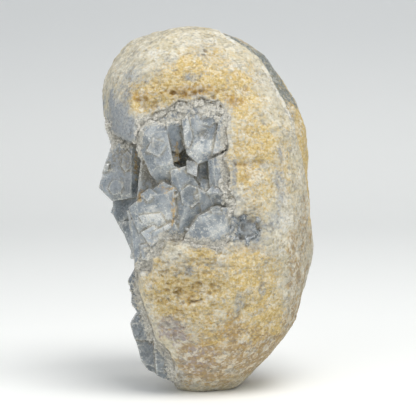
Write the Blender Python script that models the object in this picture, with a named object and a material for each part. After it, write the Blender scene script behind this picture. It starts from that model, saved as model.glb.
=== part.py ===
"""A celestite geode, standing on the small flat spot under its lower end.

It has two pieces. The limestone rind is an egg-shaped nodule, broken open on its left side and
chipped through on its front. The celestite crust is the one mass of blocky crystals that lines
the hollow, shows through the chipped window and stands out past the broken rim.

The front is -Y, the open side is -X, +Z is up, and the origin is the middle of the flat spot.
Lengths are in metres, and MM turns millimetres into metres.
"""

import math
import random

import bmesh
import bpy
from mathutils import Matrix, Vector, noise

MM = 0.001

# The whole nodule, before anything was broken off it
CROWN_Z = 134.7 * MM
FOOT_SUNK = 3.5 * MM
HALF_HEIGHT = (CROWN_Z + FOOT_SUNK) / 2
MIDDLE_Z = CROWN_Z - HALF_HEIGHT
AXIS_X_AT_FOOT, AXIS_X_AT_CROWN = -1.0 * MM, -8.0 * MM
RIGHT_REACH, RIGHT_MORE_AT_CROWN, RIGHT_LESS_AT_FOOT = 42.2 * MM, 4.0 * MM, 7.0 * MM
RIGHT_MORE_AT_SHOULDER = 5.0 * MM
LEFT_REACH, LEFT_MORE_AT_CROWN = 35.6 * MM, 6.2 * MM
FRONT_REACH, BACK_REACH = 43.0 * MM, 41.0 * MM
RIGHT_ROUNDNESS, LEFT_ROUNDNESS, SECTION_ROUNDNESS = 2.0, 2.5, 2.25
RIND_FACES = 2750
ENVELOPE_FACES = 1300

# The hollow, an ellipsoid that leans with the broken side, its lining, the gap between the rind
# and the crust, and how far the crystals in the window stay under the nodule's surface
HOLLOW_CENTRE = Vector((-30.0, 2.0, 56.0)) * MM
HOLLOW_RADII = Vector((43.0, 32.0, 49.0)) * MM
HOLLOW_LEAN = math.radians(-9.0)
LINING = 5.5 * MM
FIT_GAP = 0.3 * MM
CRYSTALS_SUNK = -0.4 * MM

# The broken rim, as the reach of the rind's left edge at each height, on the front side
RIM_STATIONS = (
    (-5.0, -11.0),
    (8.0, -12.0),
    (16.0, -13.5),
    (20.0, -18.5),
    (32.0, -23.3),
    (45.0, -25.7),
    (60.0, -29.0),
    (75.0, -33.5),
    (95.0, -41.0),
    (112.0, -52.0),
)
RIM_FRONT_Y = -36.0 * MM
RIM_SLANT = -0.05
RIM_ROUGHNESS = 1.3 * MM
# How far left the crystals that stand out past the rim may reach at each height
TIP_STATIONS = (
    (4.0, -20.0),
    (9.0, -25.0),
    (20.0, -28.5),
    (26.0, -29.0),
    (30.0, -26.0),
    (40.0, -29.0),
    (47.0, -27.0),
    (60.0, -33.0),
    (76.0, -40.0),
    (100.0, -40.0),
)

# The raised edge where the front layer of the rind ends on the right: its height in
# millimetres, and its turn about the nodule's axis in degrees, from +X towards the front, at
# each height in millimetres
SEAM_STEP = 3.4
SEAM_STATIONS = (
    (55.0, 19.0),
    (78.0, 25.0),
    (88.0, 28.0),
    (98.0, 34.0),
    (113.0, 35.0),
    (120.0, 38.0),
    (130.0, 52.0),
)

# How finely the nodule is divided, and which meridian follows the raised edge
MERIDIANS, PARALLELS, SEAM_MERIDIAN = 140, 70, 11

# The chipped window in the front wall, and the space left free above the big leaning crystal:
# (x, z) outlines and their backs, in millimetres
WINDOW_FLOOR_Y = -26.0
LIP_BACK_Y = 2.0
WINDOW_OUTLINE = (
    (-24.5, 98.5),
    (-21.5, 99.0),
    (-18.5, 101.8),
    (-15.0, 102.2),
    (-11.0, 105.2),
    (-7.5, 104.6),
    (-4.0, 106.2),
    (0.0, 104.6),
    (2.5, 105.0),
    (3.6, 101.5),
    (5.2, 99.0),
    (4.2, 94.5),
    (4.9, 90.0),
    (3.6, 85.5),
    (5.4, 81.0),
    (5.2, 77.0),
    (7.2, 73.0),
    (6.4, 68.5),
    (8.2, 65.0),
    (7.2, 61.0),
    (4.4, 59.8),
    (1.5, 57.2),
    (-2.5, 58.8),
    (-5.5, 58.2),
    (-8.0, 60.2),
    (-12.0, 59.4),
    (-15.0, 60.8),
    (-16.6, 56.5),
    (-18.8, 54.5),
    (-19.6, 49.5),
    (-30.0, 49.5),
)
LIP_SPACE_OUTLINE = (
    (-50.0, 99.0),
    (-38.5, 97.5),
    (-33.0, 95.0),
    (-29.0, 92.5),
    (-25.5, 92.5),
    (-24.0, 98.0),
    (-21.0, 90.0),
    (-21.0, 70.0),
    (-26.0, 50.5),
    (-50.0, 50.5),
)

# The large crystals that the broken front shows. Each has its (x, z) outline, its front and
# back, and its facets, all in millimetres.
WINDOW_CRYSTALS = {
    "blade": (
        ((-27, 94), (-21.5, 81), (-19, 78), (-15, 78), (-13, 83.5), (-14.5, 91), (-16, 99), (-23, 101)),
        (-39, -19),
        (
            ((-17, -37, 90), (-0.12, -1, 0.04)),
            ((-23, -36, 96.4), (-0.85, -1, -0.17)),
            ((-16, -37.3, 84.5), (0, -1, -0.75)),
        ),
    ),
    "dark_pocket": (
        ((-17, 101), (-9.5, 101), (-6, 85), (-13.5, 81)),
        (-33, -18),
        (((-12, -33, 96), (0.28, -1, -0.12)), ((-11, -32, 91), (0.5, -1, -0.6))),
    ),
    "pocket_bit": (
        ((-14, 89.2), (-11.8, 88.6), (-11.2, 85.8), (-14.2, 85.4)),
        (-35, -20),
        (((-12.6, -33.6, 87.4), (0.4, -1, 0.5)),),
    ),
    "white_boss": (
        ((-10.5, 103), (-4, 110), (6, 108), (9, 97), (2.5, 88), (-4.5, 85), (-8.6, 88.5), (-10.6, 97)),
        (-41, -24),
        (
            ((-3, -38, 97), (0.08, -1, 0.2)),
            ((-6, -38.9, 89), (-0.28, -1, -0.22)),
            ((0.2, -39.2, 90), (0.22, -1, -0.3)),
            ((-8.3, -37, 95), (-0.9, -1, 0.1)),
            ((0, -36.2, 104), (0.1, -1, 0.7)),
        ),
    ),
    "upper_ledge": (
        ((-28, 97), (-18, 107), (-6, 110), (-9, 99.5), (-16, 97)),
        (-37, -22),
        (((-16, -33.8, 101), (-0.2, -1, 0.35)),),
    ),
    "pale_shield": (
        ((-17, 78.7), (-13.4, 76.7), (-12.4, 67), (-17.5, 61.5), (-25.5, 59.5), (-29.8, 69), (-26, 72)),
        (-39, -18),
        (
            ((-19, -37, 69), (-0.2, -1, -0.05)),
            ((-20.8, -36.6, 73.7), (-0.45, -1, 0.77)),
            ((-20, -36.9, 65), (-0.1, -1, -0.45)),
            ((-26.5, -35, 66), (-1.1, -1, -0.1)),
        ),
    ),
    "slate_slab": (
        ((-14.5, 82.5), (-8.5, 84.5), (-4, 76.5), (-3, 68.5), (-7, 61), (-13, 57), (-13.5, 72)),
        (-40, -20),
        (
            ((-9, -38, 75), (0.1, -1, 0.18)),
            ((-11.8, -37.6, 70), (-0.55, -1, 0)),
            ((-6.5, -37.8, 68), (0.35, -1, -0.25)),
        ),
    ),
    "chip": (
        ((-8.8, 86.4), (-4.5, 85.3), (-5, 80.5), (-8.6, 82)),
        (-40, -22),
        (((-6.5, -37.3, 83.5), (-0.2, -1, 0.4)),),
    ),
    "notch_crystal": (
        ((-7.5, 86.6), (-0.4, 86.9), (0.6, 79), (-2.4, 74.9), (-6.8, 79)),
        (-36, -20),
        (((-3, -34.5, 81), (0.35, -1, 0.15)),),
    ),
    "right_step": (
        ((-1.2, 86.3), (9, 91), (9, 77.3), (-0.6, 77.3)),
        (-42, -24),
        (((2, -39.8, 83), (0.2, -1, 0.1)), ((0.2, -39.4, 82), (-0.7, -1, 0))),
    ),
    "right_cushion": (
        ((-1.5, 75.5), (1, 78.4), (9, 78), (10, 72), (0.3, 71.8)),
        (-43, -24),
        (((2.5, -40.6, 75.5), (0.05, -1, 0.45)), ((2.5, -40.6, 74.6), (0, -1, -0.7))),
    ),
    "right_slope": (
        ((-4.8, 77), (1, 73), (11, 73), (11, 67), (-3, 66.5)),
        (-41, -22),
        (((1, -38.5, 70.5), (-0.15, -1, -0.3)),),
    ),
    "low_shield": (
        ((-4.6, 66.6), (2, 70), (11, 69), (11, 57), (1, 54), (-9, 56), (-9, 60)),
        (-43, -24),
        (((1, -41.2, 63.5), (-0.08, -1, -0.12)), ((-1.5, -41, 67.2), (-0.4, -1, 0.75))),
    ),
    "leaf_cluster": (
        ((-29, 65), (-23, 60), (-13, 64.5), (-10, 58), (-14, 54), (-17, 46), (-27, 47)),
        (-40, -18),
        (
            ((-24, -35.6, 57), (-0.75, -1, 0.1)),
            ((-20.5, -37.6, 57), (-0.25, -1, -0.12)),
            ((-16.5, -38.4, 58), (0.3, -1, -0.35)),
            ((-24, -22, 55), (-0.7, 1, -0.1)),
        ),
    ),
}

# The large crystals that stand on the broken side, and out past its rim
RIM_CRYSTALS = {
    "leaning_crystal": (
        ((-34, 97), (-27.5, 95), (-17, 77.5), (-23.5, 73), (-36, 70.5), (-41, 75.5), (-37, 89)),
        (-25, -5),
        (
            ((-30, -22, 82), (-0.28, -1, 0.05)),
            ((-28.6, -22, 82), (1.2, -1, 0)),
            ((-31, -21.5, 91), (0, -1, 1)),
            ((-39, -20.5, 76), (-1.3, -1, -0.3)),
            ((-31, -22.3, 73), (-0.3, -1, -0.5)),
            ((-31, -9, 84), (-0.6, 1, 0.3)),
            ((-33, -10, 75), (-0.4, 1, -0.9)),
        ),
    ),
    "under_lip": (
        ((-39, 99), (-25, 100), (-21, 90), (-28, 87.5), (-36.5, 91.5)),
        (-19, -5),
        (
            ((-31, -12, 91), (-0.2, 1, -0.9)),
            ((-37, -12, 95), (-1, 0.4, -0.2)),
            ((-34, -8, 98), (-1, 0.5, 0.7)),
        ),
    ),
    "far_step": (
        ((-36.5, 73), (-27, 74), (-25, 62), (-32, 57.5), (-36, 65)),
        (-17, -1),
        (
            ((-33, -14, 66), (-0.6, -1, 0.2)),
            ((-30, -14, 62), (0.1, -1, -0.6)),
            ((-33, -4, 66), (-0.8, 1, 0.2)),
        ),
    ),
    "middle_step": (
        ((-33.5, 63), (-26, 64), (-21, 46), (-26.5, 46.5), (-29.5, 53.5)),
        (-26, -10),
        (
            ((-29, -23, 56), (-0.6, -1, 0.1)),
            ((-27, -24, 50), (-0.2, -1, -0.5)),
            ((-29, -13, 56), (-0.7, 1, 0.3)),
        ),
    ),
    "low_rim_step": (
        ((-21, 50), (-27, 47.5), (-30, 42.5), (-29, 37), (-19, 38)),
        (-31, -16),
        (
            ((-27, -27, 43), (-0.7, -1, 0.3)),
            ((-27, -27, 41), (-0.4, -1, -0.5)),
            ((-27, -19, 42), (-0.5, 1, 0.2)),
        ),
    ),
    "lower_rim_step": (
        ((-18, 41), (-29, 40), (-29, 34), (-26.5, 29.5), (-17, 30)),
        (-30, -17),
        (
            ((-26, -26, 37), (-0.5, -1, 0.1)),
            ((-26, -25.5, 33), (-0.5, -1, -0.6)),
            ((-26, -20, 36), (-0.6, 1, 0.1)),
        ),
    ),
    "foot_crystal": (
        ((-29.5, 26), (-28, 28.5), (-25.5, 31), (-15, 31), (-14, 20), (-28, 20)),
        (-28, -7),
        (
            ((-27, -22.5, 29), (-0.5, -1, 0.5)),
            ((-26, -23, 23), (-0.45, -1, -0.4)),
            ((-25, -11, 27), (-0.5, 1, 0.5)),
        ),
    ),
    "foot_slab": (
        ((-28.3, 21), (-14, 24), (-12, 6.5), (-19.5, 7), (-23, 8.5), (-25.5, 12), (-26.8, 16.5)),
        (-27, -4),
        (
            ((-22, -22, 14), (-0.45, -1, 0.05)),
            ((-24, -20.5, 10), (-0.6, -1, -0.8)),
            ((-23, -8, 15), (-0.5, 1, 0.6)),
        ),
    ),
    "foot_wedge": (
        ((-21, 22), (-8, 20), (-8, 3), (-14, 4), (-20, 7)),
        (-28, -9),
        (
            ((-16, -24.4, 12), (0.1, -1, -0.15)),
            ((-16, -24.2, 8.5), (-0.1, -1, -0.9)),
        ),
    ),
}

# The view into the hollow, to the left of the blade and above the shield
NOTCH_OUTLINE = ((-50, 94), (-33, 94), (-28, 92), (-14, 77), (-24, 71), (-34, 66), (-50, 66))
NOTCH_BACK_Y = -9.0
# The dish that a blow left in the white boss
DISH_CENTRE, DISH_RADIUS = Vector((-2.7, -41.4, 96.2)) * MM, 3.9 * MM

# The crystals scattered over the lining
CRYSTAL_SPOTS = 98
CRYSTAL_SEED = 11


def clear_scene():
    for obj in list(bpy.data.objects):
        bpy.data.objects.remove(obj, do_unlink=True)


def new_collection(name, hidden=False):
    collection = bpy.data.collections.new(name)
    bpy.context.scene.collection.children.link(collection)
    collection.hide_render = hidden
    return collection


def finish(name, color, roughness):
    """A plain opaque finish in the piece's main colour."""
    material = bpy.data.materials.new(name)
    material.use_nodes = True
    shader = material.node_tree.nodes["Principled BSDF"]
    shader.inputs["Base Color"].default_value = (*color, 1.0)
    shader.inputs["Roughness"].default_value = roughness
    shader.inputs["Metallic"].default_value = 0.0
    return material


def ease(low, high, value):
    """0 up to low, 1 from high, and a smooth rise between them."""
    share = min(1.0, max(0.0, (value - low) / (high - low)))
    return share * share * (3.0 - 2.0 * share)


def bump(centre, reach, value):
    """1 at the centre, falling smoothly to 0 at the reach on either side."""
    return 1.0 - ease(0.0, reach, abs(value - centre))


def along(stations, height):
    """The value at a height, eased between the stations on either side of it."""
    if height <= stations[0][0]:
        return stations[0][1]
    for (low, first), (high, second) in zip(stations, stations[1:]):
        if height <= high:
            share = (height - low) / (high - low)
            return first + (second - first) * share
    return stations[-1][1]


# The nodule's surface


def axis_x(share):
    """Where the nodule's leaning axis stands, for a share of the height from -1 to 1."""
    return AXIS_X_AT_FOOT + (AXIS_X_AT_CROWN - AXIS_X_AT_FOOT) * (share + 1.0) / 2.0


def rounded(value, power):
    return math.copysign(abs(value) ** (2.0 / power), value)


def relief(point, turn):
    """How far the weathered surface stands out from the smooth egg, in metres."""
    x, z = point.x / MM, point.z / MM
    front = ease(-5.0, -25.0, point.y / MM)
    behind_seam = turn + math.radians(along(SEAM_STATIONS, z))
    seam_height = ease(50.0, 74.0, z) * (1.0 - ease(129.0, 134.0, z))
    ledge = math.tau / MERIDIANS
    layer = ease(-1.0, -0.1, behind_seam) * (1.0 - ease(0.0, ledge, behind_seam))
    groove = ease(0.0, ledge, behind_seam) * (1.0 - ease(ledge, 0.5, behind_seam))
    brow = bump(103.5, 9.0, z) * bump(-14.0, 26.0, x) * front
    chin = bump(38.0, 20.0, z) * bump(-7.0, 20.0, x) * front
    cheek_ledge = bump(83.5, 2.6, z) * bump(17.0, 7.0, x) * front
    pocket = bump(62.5, 8.5, z) * bump(12.0, 8.0, x) * front
    back_flat = bump(78.0, 34.0, z) * ease(18.0, 38.0, point.y / MM)
    lumps = noise.noise(point * 48.0) * 1.5 + noise.noise(point * 120.0) * 0.7
    rough = noise.noise(point * 260.0 + Vector((3.0, 1.0, 7.0))) * 0.9 * (brow + chin)
    total = lumps + rough + 1.4 * chin - 2.2 * brow - 1.2 * cheek_ledge - 2.0 * pocket
    total += seam_height * SEAM_STEP * (0.55 * layer - 0.45 * groove)
    return (total - 1.6 * back_flat) * MM


def nodule_point(direction, grow):
    """The point of the nodule's surface that a unit direction maps to.

    The meridians bend so that one of them runs along the seam.
    """
    share = direction.z
    turn = math.atan2(direction.y, direction.x)
    seam = math.radians(along(SEAM_STATIONS, (MIDDLE_Z + HALF_HEIGHT * share) / MM))
    straight = math.tau * SEAM_MERIDIAN / MERIDIANS
    turn += (straight - seam) * bump(-straight, 1.2, turn)
    right = RIGHT_REACH + RIGHT_MORE_AT_CROWN * ease(0.55, 0.95, share)
    right += RIGHT_MORE_AT_SHOULDER * ease(0.2, 0.56, share) * (1.0 - ease(0.8, 1.0, share))
    right -= RIGHT_LESS_AT_FOOT * ease(0.6, 0.95, -share)
    left = LEFT_REACH + LEFT_MORE_AT_CROWN * ease(0.4, 0.85, share)
    toward_right = (1.0 + math.cos(turn)) / 2.0
    power = LEFT_ROUNDNESS + (RIGHT_ROUNDNESS - LEFT_ROUNDNESS) * toward_right
    ring = max(0.0, 1.0 - abs(share) ** power) ** (1.0 / power)
    side = right if math.cos(turn) > 0.0 else left
    depth = BACK_REACH if math.sin(turn) > 0.0 else FRONT_REACH
    smooth = Vector(
        (
            axis_x(share) + (side + grow) * ring * rounded(math.cos(turn), SECTION_ROUNDNESS),
            (depth + grow) * ring * rounded(math.sin(turn), SECTION_ROUNDNESS),
            MIDDLE_Z + (HALF_HEIGHT + grow) * share,
        )
    )
    outward = Vector((math.cos(turn) * ring, math.sin(turn) * ring, share)).normalized()
    return smooth + outward * relief(smooth, turn)


def sphere_mesh(name, steps):
    """An icosphere primitive of radius 1, as a mesh data block."""
    bpy.ops.mesh.primitive_ico_sphere_add(subdivisions=steps, radius=1.0)
    obj = bpy.context.object
    mesh = obj.data
    mesh.name = name
    bpy.data.objects.remove(obj)
    return mesh


def add_object(name, mesh, collection, helper=False):
    obj = bpy.data.objects.new(name, mesh)
    collection.objects.link(obj)
    if helper:
        obj.hide_render = True
        obj.display_type = "WIRE"
    return obj


def evaluated_copy(obj):
    """The object's mesh with its modifiers worked in, in world space."""
    bpy.context.view_layer.update()
    graph = bpy.context.evaluated_depsgraph_get()
    mesh = bpy.data.meshes.new_from_object(obj.evaluated_get(graph))
    mesh.transform(obj.matrix_world)
    return mesh


def cut_plane(shape, point, normal):
    """Takes away what lies on the normal's side of a plane, and closes the cut."""
    everything = shape.verts[:] + shape.edges[:] + shape.faces[:]
    bmesh.ops.bisect_plane(
        shape, geom=everything, plane_co=point, plane_no=normal, clear_outer=True, dist=1e-7
    )
    open_edges = [edge for edge in shape.edges if edge.is_boundary]
    if open_edges:
        bmesh.ops.holes_fill(shape, edges=open_edges, sides=0)


def nodule(name, grow, collection, faces=RIND_FACES, flat_z=0.0):
    """The whole nodule, grown or shrunk by an even amount and cut flat at the foot."""
    shape = bmesh.new()
    bmesh.ops.create_uvsphere(shape, u_segments=MERIDIANS, v_segments=PARALLELS, radius=1.0)
    for vertex in shape.verts:
        vertex.co = nodule_point(vertex.co.normalized(), grow)
    bmesh.ops.triangulate(shape, faces=shape.faces[:])
    mesh = bpy.data.meshes.new(name)
    shape.to_mesh(mesh)
    shape.free()
    obj = add_object(name, mesh, collection, helper=True)
    thinner = obj.modifiers.new("fewer faces", "DECIMATE")
    thinner.ratio = faces / len(mesh.polygons)
    fewer = evaluated_copy(obj)
    obj.modifiers.clear()
    obj.data = fewer
    shape = bmesh.new()
    shape.from_mesh(fewer)
    cut_plane(shape, Vector((0.0, 0.0, flat_z)), Vector((0.0, 0.0, -1.0)))
    shape.to_mesh(fewer)
    shape.free()
    return obj


# Cutters for the hollow, the broken side and the window


def ellipsoid(name, radii, grow, roughness, collection, steps=4):
    """The lumpy ellipsoid of the hollow, or of the space left inside its crystals."""
    mesh = sphere_mesh(name, steps)
    lean = Matrix.Rotation(HOLLOW_LEAN, 3, "Y")
    for vertex in mesh.vertices:
        direction = vertex.co.normalized()
        lump = 1.0 + roughness * noise.noise(direction * 3.1)
        stretched = Vector([d * (r * lump + grow) for d, r in zip(direction, radii)])
        vertex.co = HOLLOW_CENTRE + lean @ stretched
    return add_object(name, mesh, collection, helper=True)


def rim_x(point):
    """Where the broken side cuts the rind at this height and depth."""
    reach = along(RIM_STATIONS, point.z / MM) * MM
    slant = RIM_SLANT * (point.y - RIM_FRONT_Y)
    chipped = noise.noise(point * 140.0) + 0.5 * noise.noise(point * 330.0)
    return reach + slant + RIM_ROUGHNESS * chipped


def break_cutter(name, shift, collection):
    """Everything to the left of the broken side, as one block with a rough right face."""
    shape = bmesh.new()
    bmesh.ops.create_grid(shape, x_segments=22, y_segments=34, size=1.0)
    for vertex in shape.verts:
        place = Vector((0.0, vertex.co.x * 62.0 * MM, (66.0 + vertex.co.y * 84.0) * MM))
        place.x = rim_x(place) + shift
        vertex.co = place
    extruded = bmesh.ops.extrude_face_region(shape, geom=shape.faces[:])
    moved = [item for item in extruded["geom"] if isinstance(item, bmesh.types.BMVert)]
    for vertex in moved:
        vertex.co.x = -95.0 * MM
    bmesh.ops.recalc_face_normals(shape, faces=shape.faces[:])
    bmesh.ops.triangulate(shape, faces=shape.faces[:])
    mesh = bpy.data.meshes.new(name)
    shape.to_mesh(mesh)
    shape.free()
    return add_object(name, mesh, collection, helper=True)


def offset_outline(outline, grow):
    """The outline's corners in metres, with every edge moved outwards by the same amount."""
    corners = [Vector(corner) * MM for corner in outline]
    area = sum(a.x * b.y - a.y * b.x for a, b in zip(corners, corners[1:] + corners[:1]))
    side = math.copysign(1.0, area)
    moved = []
    for before, here, after in zip(corners[-1:] + corners[:-1], corners, corners[1:] + corners[:1]):
        first = (here - before).normalized()
        second = (after - here).normalized()
        normals = Vector((first.y, -first.x)) * side, Vector((second.y, -second.x)) * side
        moved.append(here + (normals[0] + normals[1]) / (1.0 + normals[0].dot(normals[1])) * grow)
    return moved


def plate(name, outline, front, back, collection, facets=(), grow=0.0, flare=0.0):
    """A plate that stands facing the front, with its face cut back to the given facets.

    The outline holds (x, z) corners, and front and back are y, all in millimetres. Each facet
    is a point on it and the way it faces. A flare widens the front of the plate.
    """
    curve = bpy.data.curves.new(name, "CURVE")
    curve.dimensions = "2D"
    curve.fill_mode = "BOTH"
    curve.extrude = (back - front) / 2.0 * MM
    spline = curve.splines.new("POLY")
    spline.points.add(len(outline) - 1)
    middle = sum((Vector(corner) for corner in outline), Vector((0.0, 0.0))) / len(outline) * MM
    for point, corner in zip(spline.points, offset_outline(outline, grow)):
        point.co = (corner.x, corner.y, 0.0, 1.0)
    spline.use_cyclic_u = True
    guide = bpy.data.objects.new(name + "_outline", curve)
    collection.objects.link(guide)
    guide.rotation_euler = (math.pi / 2.0, 0.0, 0.0)
    guide.location = (0.0, (front + back) / 2.0 * MM, 0.0)
    mesh = evaluated_copy(guide)
    mesh.name = name
    bpy.data.objects.remove(guide)
    shape = bmesh.new()
    shape.from_mesh(mesh)
    bmesh.ops.remove_doubles(shape, verts=shape.verts[:], dist=0.01 * MM)
    bmesh.ops.recalc_face_normals(shape, faces=shape.faces[:])
    for vertex in shape.verts:
        if flare and vertex.co.y < (front + back) / 2.0 * MM:
            centre = Vector((middle.x, vertex.co.y, middle.y))
            vertex.co = centre + (vertex.co - centre) * (1.0 + flare)
    for place, facing in facets:
        cut_plane(shape, Vector(place) * MM, Vector(facing).normalized())
    shape.to_mesh(mesh)
    shape.free()
    return add_object(name, mesh, collection, helper=True)


def window_cutters(grow, collection):
    """The two plates of space where the front wall is chipped away, at a given growth."""
    label = round(grow / (0.1 * MM))
    window = plate(
        "window_%d" % label,
        WINDOW_OUTLINE,
        -62.0,
        WINDOW_FLOOR_Y + 4.0 + grow / MM,
        collection,
        grow=grow,
        flare=0.3,
    )
    notch = plate(
        "notch_%d" % label,
        LIP_SPACE_OUTLINE,
        -62.0,
        LIP_BACK_Y + grow / MM,
        collection,
        grow=grow,
    )
    return [window, notch]


# Crystals


def small_crystal(name, width, thickness, length, rng, collection):
    """A blocky crystal that stands on the origin along +Z: cut corners and a chisel tip."""
    shape = bmesh.new()
    bmesh.ops.create_cube(shape, size=1.0)
    bmesh.ops.scale(shape, vec=(width, thickness, length), verts=shape.verts[:])
    bmesh.ops.translate(shape, vec=(0.0, 0.0, length / 2.0), verts=shape.verts[:])
    ridge = Vector((0.0, rng.uniform(-0.15, 0.15) * thickness, length))
    for side in (-1.0, 1.0):
        cut_plane(shape, ridge, Vector((0.0, side, rng.uniform(0.75, 1.25))).normalized())
    for side in (-1.0, 1.0):
        shoulder = Vector((side * width * rng.uniform(0.16, 0.34), 0.0, length))
        cut_plane(shape, shoulder, Vector((side, 0.0, rng.uniform(0.45, 1.0))).normalized())
    for side_x in (-1.0, 1.0):
        for side_y in (-1.0, 1.0):
            if rng.random() < 0.55:
                corner = Vector((side_x * width / 2.0, side_y * thickness / 2.0, 0.0))
                inset = corner * (1.0 - rng.uniform(0.12, 0.3))
                cut_plane(shape, inset, Vector((side_x * thickness, side_y * width, 0.0)).normalized())
    bmesh.ops.recalc_face_normals(shape, faces=shape.faces[:])
    mesh = bpy.data.meshes.new(name)
    shape.to_mesh(mesh)
    shape.free()
    return add_object(name, mesh, collection, helper=True)


def inside_egg(point, margin):
    """Whether a point lies inside the whole nodule, with a margin to spare."""
    share = (point.z - MIDDLE_Z) / HALF_HEIGHT
    if abs(share) >= 0.98:
        return False
    ring = math.sqrt(1.0 - share * share)
    across = (point.x - axis_x(share)) / (RIGHT_REACH - margin)
    away = Vector((across, point.y / (FRONT_REACH - margin)))
    return away.length < ring


def scattered_crystals(collection):
    """The crystals that crowd the lining, pointing into the hollow and out past its rim."""
    rng = random.Random(CRYSTAL_SEED)
    lean = Matrix.Rotation(HOLLOW_LEAN, 3, "Y")
    golden = math.pi * (3.0 - math.sqrt(5.0))
    made = []
    for index in range(CRYSTAL_SPOTS):
        height = 1.0 - 2.0 * (index + 0.5) / (CRYSTAL_SPOTS)
        ring = math.sqrt(1.0 - height * height)
        direction = Vector((math.cos(golden * index) * ring, math.sin(golden * index) * ring, height))
        wall = Vector([d * (r - LINING) for d, r in zip(direction, HOLLOW_RADII)])
        foot = HOLLOW_CENTRE + lean @ wall
        inward = -(lean @ Vector([d / r for d, r in zip(direction, HOLLOW_RADII)])).normalized()
        past_rim = foot.x - rim_x(foot)
        in_notch = foot.y < -8.0 * MM and foot.x < -14.0 * MM and 66.0 * MM < foot.z < 99.0 * MM
        draws = [rng.random() for _ in range(8)]
        if past_rim < 1.5 * MM or in_notch or not inside_egg(foot, 4.0 * MM):
            continue
        near_rim = 1.0 - ease(2.0 * MM, 14.0 * MM, past_rim)
        jitter = Vector((draws[0] - 0.5, draws[1] - 0.5, draws[2] - 0.5)) * 0.55
        axis = (inward + jitter + Vector((-0.9, 0.0, 0.0)) * near_rim).normalized()
        width = (9.5 + 8.0 * draws[3]) * MM
        crystal = small_crystal(
            "crystal_%02d" % len(made),
            width,
            width * (0.55 + 0.35 * draws[4]),
            (10.5 + 9.0 * draws[5] - 3.5 * near_rim) * MM,
            rng,
            collection,
        )
        turn = Matrix.Rotation(draws[6] * math.tau, 4, "Z")
        stand = axis.to_track_quat("Z", "X").to_matrix().to_4x4() @ turn
        crystal.matrix_world = Matrix.Translation(foot - axis * 2.6 * MM) @ stand
        corners = [crystal.matrix_world @ vertex.co for vertex in crystal.data.vertices]
        past_tips = min(corner.x - along(TIP_STATIONS, corner.z / MM) * MM for corner in corners)
        if past_tips < 0.0:
            crystal.matrix_world = Matrix.Translation((-past_tips, 0.0, 0.0)) @ crystal.matrix_world
        if not all(inside_egg(corner, 2.5 * MM) for corner in corners):
            bpy.data.objects.remove(crystal)
            continue
        made.append(crystal)
    return made


def boolean(obj, operation, other):
    """A Boolean modifier with one object, or with every object of a collection."""
    modifier = obj.modifiers.new(operation.lower() + " " + other.name, "BOOLEAN")
    modifier.operation = operation
    modifier.solver = "EXACT"
    if isinstance(other, bpy.types.Collection):
        modifier.operand_type = "COLLECTION"
        modifier.collection = other
    else:
        modifier.object = other
    return modifier


def drop_flat_flaps(shape):
    """Takes out pairs of faces that lie back to back on the same corners."""
    seen = {}
    for face in shape.faces:
        seen.setdefault(frozenset(face.verts), []).append(face)
    flaps = [face for faces in seen.values() if len(faces) > 1 for face in faces]
    bmesh.ops.delete(shape, geom=flaps, context="FACES")


def settle(obj, smooth=False):
    """Works the modifiers in, keeps only the largest closed body and sets its shading."""
    mesh = evaluated_copy(obj)
    obj.modifiers.clear()
    obj.matrix_world = Matrix.Identity(4)
    obj.data = mesh
    shape = bmesh.new()
    shape.from_mesh(mesh)
    bmesh.ops.remove_doubles(shape, verts=shape.verts[:], dist=0.01 * MM)
    drop_flat_flaps(shape)
    left = set(shape.verts)
    bodies = []
    while left:
        body, edge = set(), [left.pop()]
        while edge:
            vertex = edge.pop()
            body.add(vertex)
            for link in vertex.link_edges:
                other = link.other_vert(vertex)
                if other in left:
                    left.discard(other)
                    edge.append(other)
        bodies.append(body)
    largest = max(bodies, key=len)
    bmesh.ops.delete(shape, geom=[v for v in shape.verts if v not in largest], context="VERTS")
    for face in shape.faces:
        face.smooth = smooth
    shape.to_mesh(mesh)
    shape.free()
    if smooth:
        mesh.set_sharp_from_angle(angle=math.radians(35.0))
    return obj


def build_rind(cutters, parts):
    """The nodule less its hollow, its broken side and the chipped window."""
    rind = nodule("limestone_rind", 0.0, parts)
    rind.hide_render = False
    rind.display_type = "TEXTURED"
    boolean(rind, "DIFFERENCE", ellipsoid("hollow", HOLLOW_RADII, 0.0, 0.1, cutters))
    boolean(rind, "DIFFERENCE", break_cutter("broken_side", 0.0, cutters))
    for cutter in window_cutters(0.0, cutters):
        boolean(rind, "DIFFERENCE", cutter)
    return settle(rind, smooth=True)


def build_clearance(cutters):
    """The rind grown by the fit gap: what the crust is cut back to."""
    grown = nodule("rind_clearance", FIT_GAP, cutters, flat_z=-FIT_GAP)
    boolean(grown, "DIFFERENCE", ellipsoid("hollow_fit", HOLLOW_RADII, -FIT_GAP, 0.1, cutters))
    boolean(grown, "DIFFERENCE", break_cutter("broken_side_fit", -FIT_GAP, cutters))
    for cutter in window_cutters(-FIT_GAP, cutters):
        boolean(grown, "DIFFERENCE", cutter)
    return settle(grown)


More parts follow.
